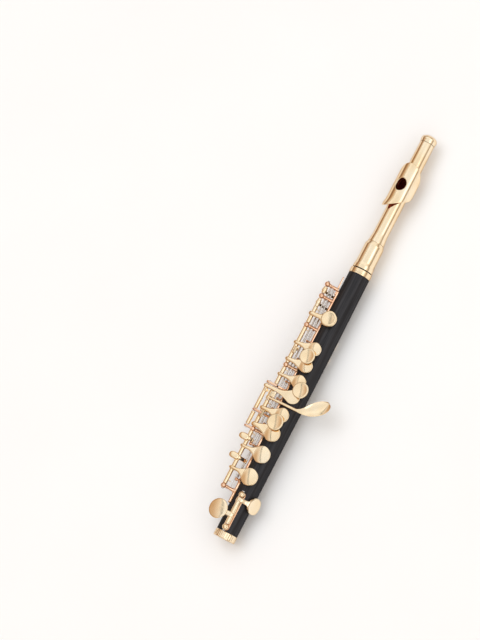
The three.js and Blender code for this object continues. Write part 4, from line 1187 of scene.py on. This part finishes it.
b = Build()
b.lathe(fillet([(289.0, 1.5), (289.0, 4.75), (297.4, 4.75), (297.4, 1.5)], 0.2, closed=True), seg=64, closed=True)
b.object("stopper_cork_turned", "stopper", CORK, ["stopper_cork"], "cork")
b = Build()
b.lathe(fillet([(287.4, 0), (287.4, 4.6), (288.7, 4.6), (288.7, 1.2), (297.7, 1.2), (297.7, 4.4), (298.9, 4.4), (298.9, 1.15), (300, 1.15)], 0.12) +
        [(300 + 18 * i / 72, 1.15 if i % 2 else 0.98) for i in range(1, 72)] + [(318.2, 0.9), (318.2, 0)], seg=48)
b.object("stopper_screw_turned", "stopper", STEEL, ["stopper_screw"], "steel")
crown_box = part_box("crown")
b = Build()
b.lathe(fillet([(320.2, 0), (320.2, 1.5), (313.6, 1.5), (313.6, 4.75), (317.75, 4.75), (317.8, 5.55), (318.1, 5.66), (319.0, 5.68), (319.6, 5.72), (319.9, 5.93), (320.6, 5.97), (321.2, 5.85), (322.0, 5.45), (322.8, 4.6),
                (323.4, 3.4), (323.8, 1.9), (324, 0)], [0, 0.05, 0.1, 0.05, 0.03, 0.1, 0, 0, 0, 0.15, 0.2, 0.2, 0.5, 0.5, 0.5, 0.5, 0]), seg=96)
b.object("crown_turned", "crown", GOLD_TUBE, ["crown"], "gold_plate", 35)

# ---------------------------------------------------------------- floor, light, camera
floor_mesh = bpy.data.meshes.new("floor")
floor_mesh.from_pydata([(-4, -4, 0), (4, -4, 0), (4, 4, 0), (-4, 4, 0)], [], [(0, 1, 2, 3)])
floor = bpy.data.objects.new("floor", floor_mesh)
bpy.context.scene.collection.objects.link(floor)
m, nt, bsdf, coord = nodes_of("floor_finish")
mottle = add_noise(nt, coord, 6, (1, 1, 1), 3)
col = ramp(nt, mottle.outputs[0], [(0.3, (0.9, 0.9, 0.9)), (0.7, (0.92, 0.92, 0.92))])
nt.links.new(col.outputs[0], bsdf.inputs["Base Color"])
bsdf.inputs["Roughness"].default_value = 0.7
bsdf.inputs["Specular IOR Level"].default_value = 0.2
floor_mesh.materials.append(m)

scene = bpy.context.scene
scene.view_settings.view_transform = "Standard"
w = bpy.data.worlds.new("studio")
scene.world = w
w.use_nodes = True
nt = w.node_tree
nt.nodes.clear()
out = nt.nodes.new("ShaderNodeOutputWorld")
bg = nt.nodes.new("ShaderNodeBackground")
coord = nt.nodes.new("ShaderNodeTexCoord")
sep = nt.nodes.new("ShaderNodeSeparateXYZ")
nt.links.new(coord.outputs["Generated"], sep.inputs[0])
height = ramp(nt, sep.outputs["Z"], [(0.0, (0.86, 0.85, 0.84)), (0.1, (0.74, 0.72, 0.70)), (0.17, (0.30, 0.20, 0.13)), (0.32, (0.50, 0.40, 0.31)), (0.52, (0.88, 0.84, 0.79)), (0.78, (1.0, 1.0, 1.0)), (1.0, (0.84, 0.84, 0.84))])
# the seam between the two halves of the tent, which the polished faces pick up as a thin dark line
seam = nt.nodes.new("ShaderNodeVectorMath")
seam.operation = "DOT_PRODUCT"
seam.inputs[1].default_value = (-0.42, 0.76, -0.49)
nt.links.new(coord.outputs["Generated"], seam.inputs[0])
side = nt.nodes.new("ShaderNodeMath")
side.operation = "ABSOLUTE"
nt.links.new(seam.outputs["Value"], side.inputs[0])
line = nt.nodes.new("ShaderNodeMapRange")
line.inputs["From Min"].default_value = 0.012
line.inputs["From Max"].default_value = 0.035
line.inputs["To Min"].default_value = 0.38
line.inputs["To Max"].default_value = 1.0
nt.links.new(side.outputs[0], line.inputs["Value"])
half = nt.nodes.new("ShaderNodeMapRange")
half.inputs["From Min"].default_value = -0.02
half.inputs["From Max"].default_value = 0.2
half.inputs["To Min"].default_value = 1.0
half.inputs["To Max"].default_value = 0.0
nt.links.new(seam.outputs["Value"], half.inputs["Value"])
tint = nt.nodes.new("ShaderNodeMix")
tint.data_type = "RGBA"
tint.inputs["A"].default_value = (0.62, 0.45, 0.32, 1)
tint.inputs["B"].default_value = (1.0, 1.0, 1.0, 1)
nt.links.new(half.outputs[0], tint.inputs["Factor"])
sky = nt.nodes.new("ShaderNodeMix")
sky.data_type = "RGBA"
sky.blend_type = "MULTIPLY"
sky.inputs["Factor"].default_value = 1.0
nt.links.new(height.outputs[0], sky.inputs["A"])
nt.links.new(tint.outputs["Result"], sky.inputs["B"])
power = nt.nodes.new("ShaderNodeMath")
power.operation = "MULTIPLY"
power.inputs[1].default_value = 1.06
nt.links.new(line.outputs[0], power.inputs[0])
nt.links.new(sky.outputs["Result"], bg.inputs["Color"])
nt.links.new(power.outputs[0], bg.inputs["Strength"])
nt.links.new(bg.outputs[0], out.inputs["Surface"])


def softbox(name, at, look, size, power, colour=(1, 1, 1)):
    d = bpy.data.lights.new(name, "AREA")
    d.shape = "RECTANGLE"
    d.size, d.size_y = size
    d.energy = power
    d.color = colour
    o = bpy.data.objects.new(name, d)
    o.location = at
    o.rotation_euler = (Vector(look) - Vector(at)).to_track_quat("-Z", "Y").to_euler()
    scene.collection.objects.link(o)
    return o


softbox("side_box", (-0.2, -0.9, 1.1), (0, 0, 0), (1.5, 0.5), 1.6)
fill = softbox("floor_fill", (0.15, 0.5, 2.2), (0, 0, 0), (1.6, 1.6), 17, (0.94, 0.97, 1.0))
fill.visible_glossy = False

cam = bpy.data.cameras.new("camera")
cam.sensor_fit = "VERTICAL"
cam.sensor_height = 36
cam.lens = 2011.96511 * 36 / 640
cam.clip_start, cam.clip_end = 0.05, 20
camera = bpy.data.objects.new("camera", cam)
scene.collection.objects.link(camera)
# the view is set by the direction of the bore in the frame and the tip of the key tops from the line of sight
d = Vector((0.45841, -0.88874))
n = Vector((0.88874, 0.45841))
R0 = Matrix(((d[0], n[0], 0), (d[1], n[1], 0), (0, 0, -1)))
rv = Vector((4.25855289e-02, 1.34798403e-01, 2.87502212e-03))
R = R0 @ Matrix.Rotation(rv.length, 3, rv.normalized())
T = math.radians(20)
# view axes (along the bore, across, towards the camera) in the row frame
V = Matrix(((1, 0, 0), (0, -math.cos(T), -math.sin(T)), (0, -math.sin(T), math.cos(T)))).transposed()
rows = [V @ Vector(R[i]) for i in range(3)]   # right, down, forward
basis = Matrix((rows[0], -rows[1], -rows[2])).transposed()
place = V @ Vector((-49, 0, 1410))
camera.matrix_world = Matrix.Translation(Vector(world(tuple(place)))) @ basis.to_4x4()
scene.camera = camera

bpy.context.view_layer.update()
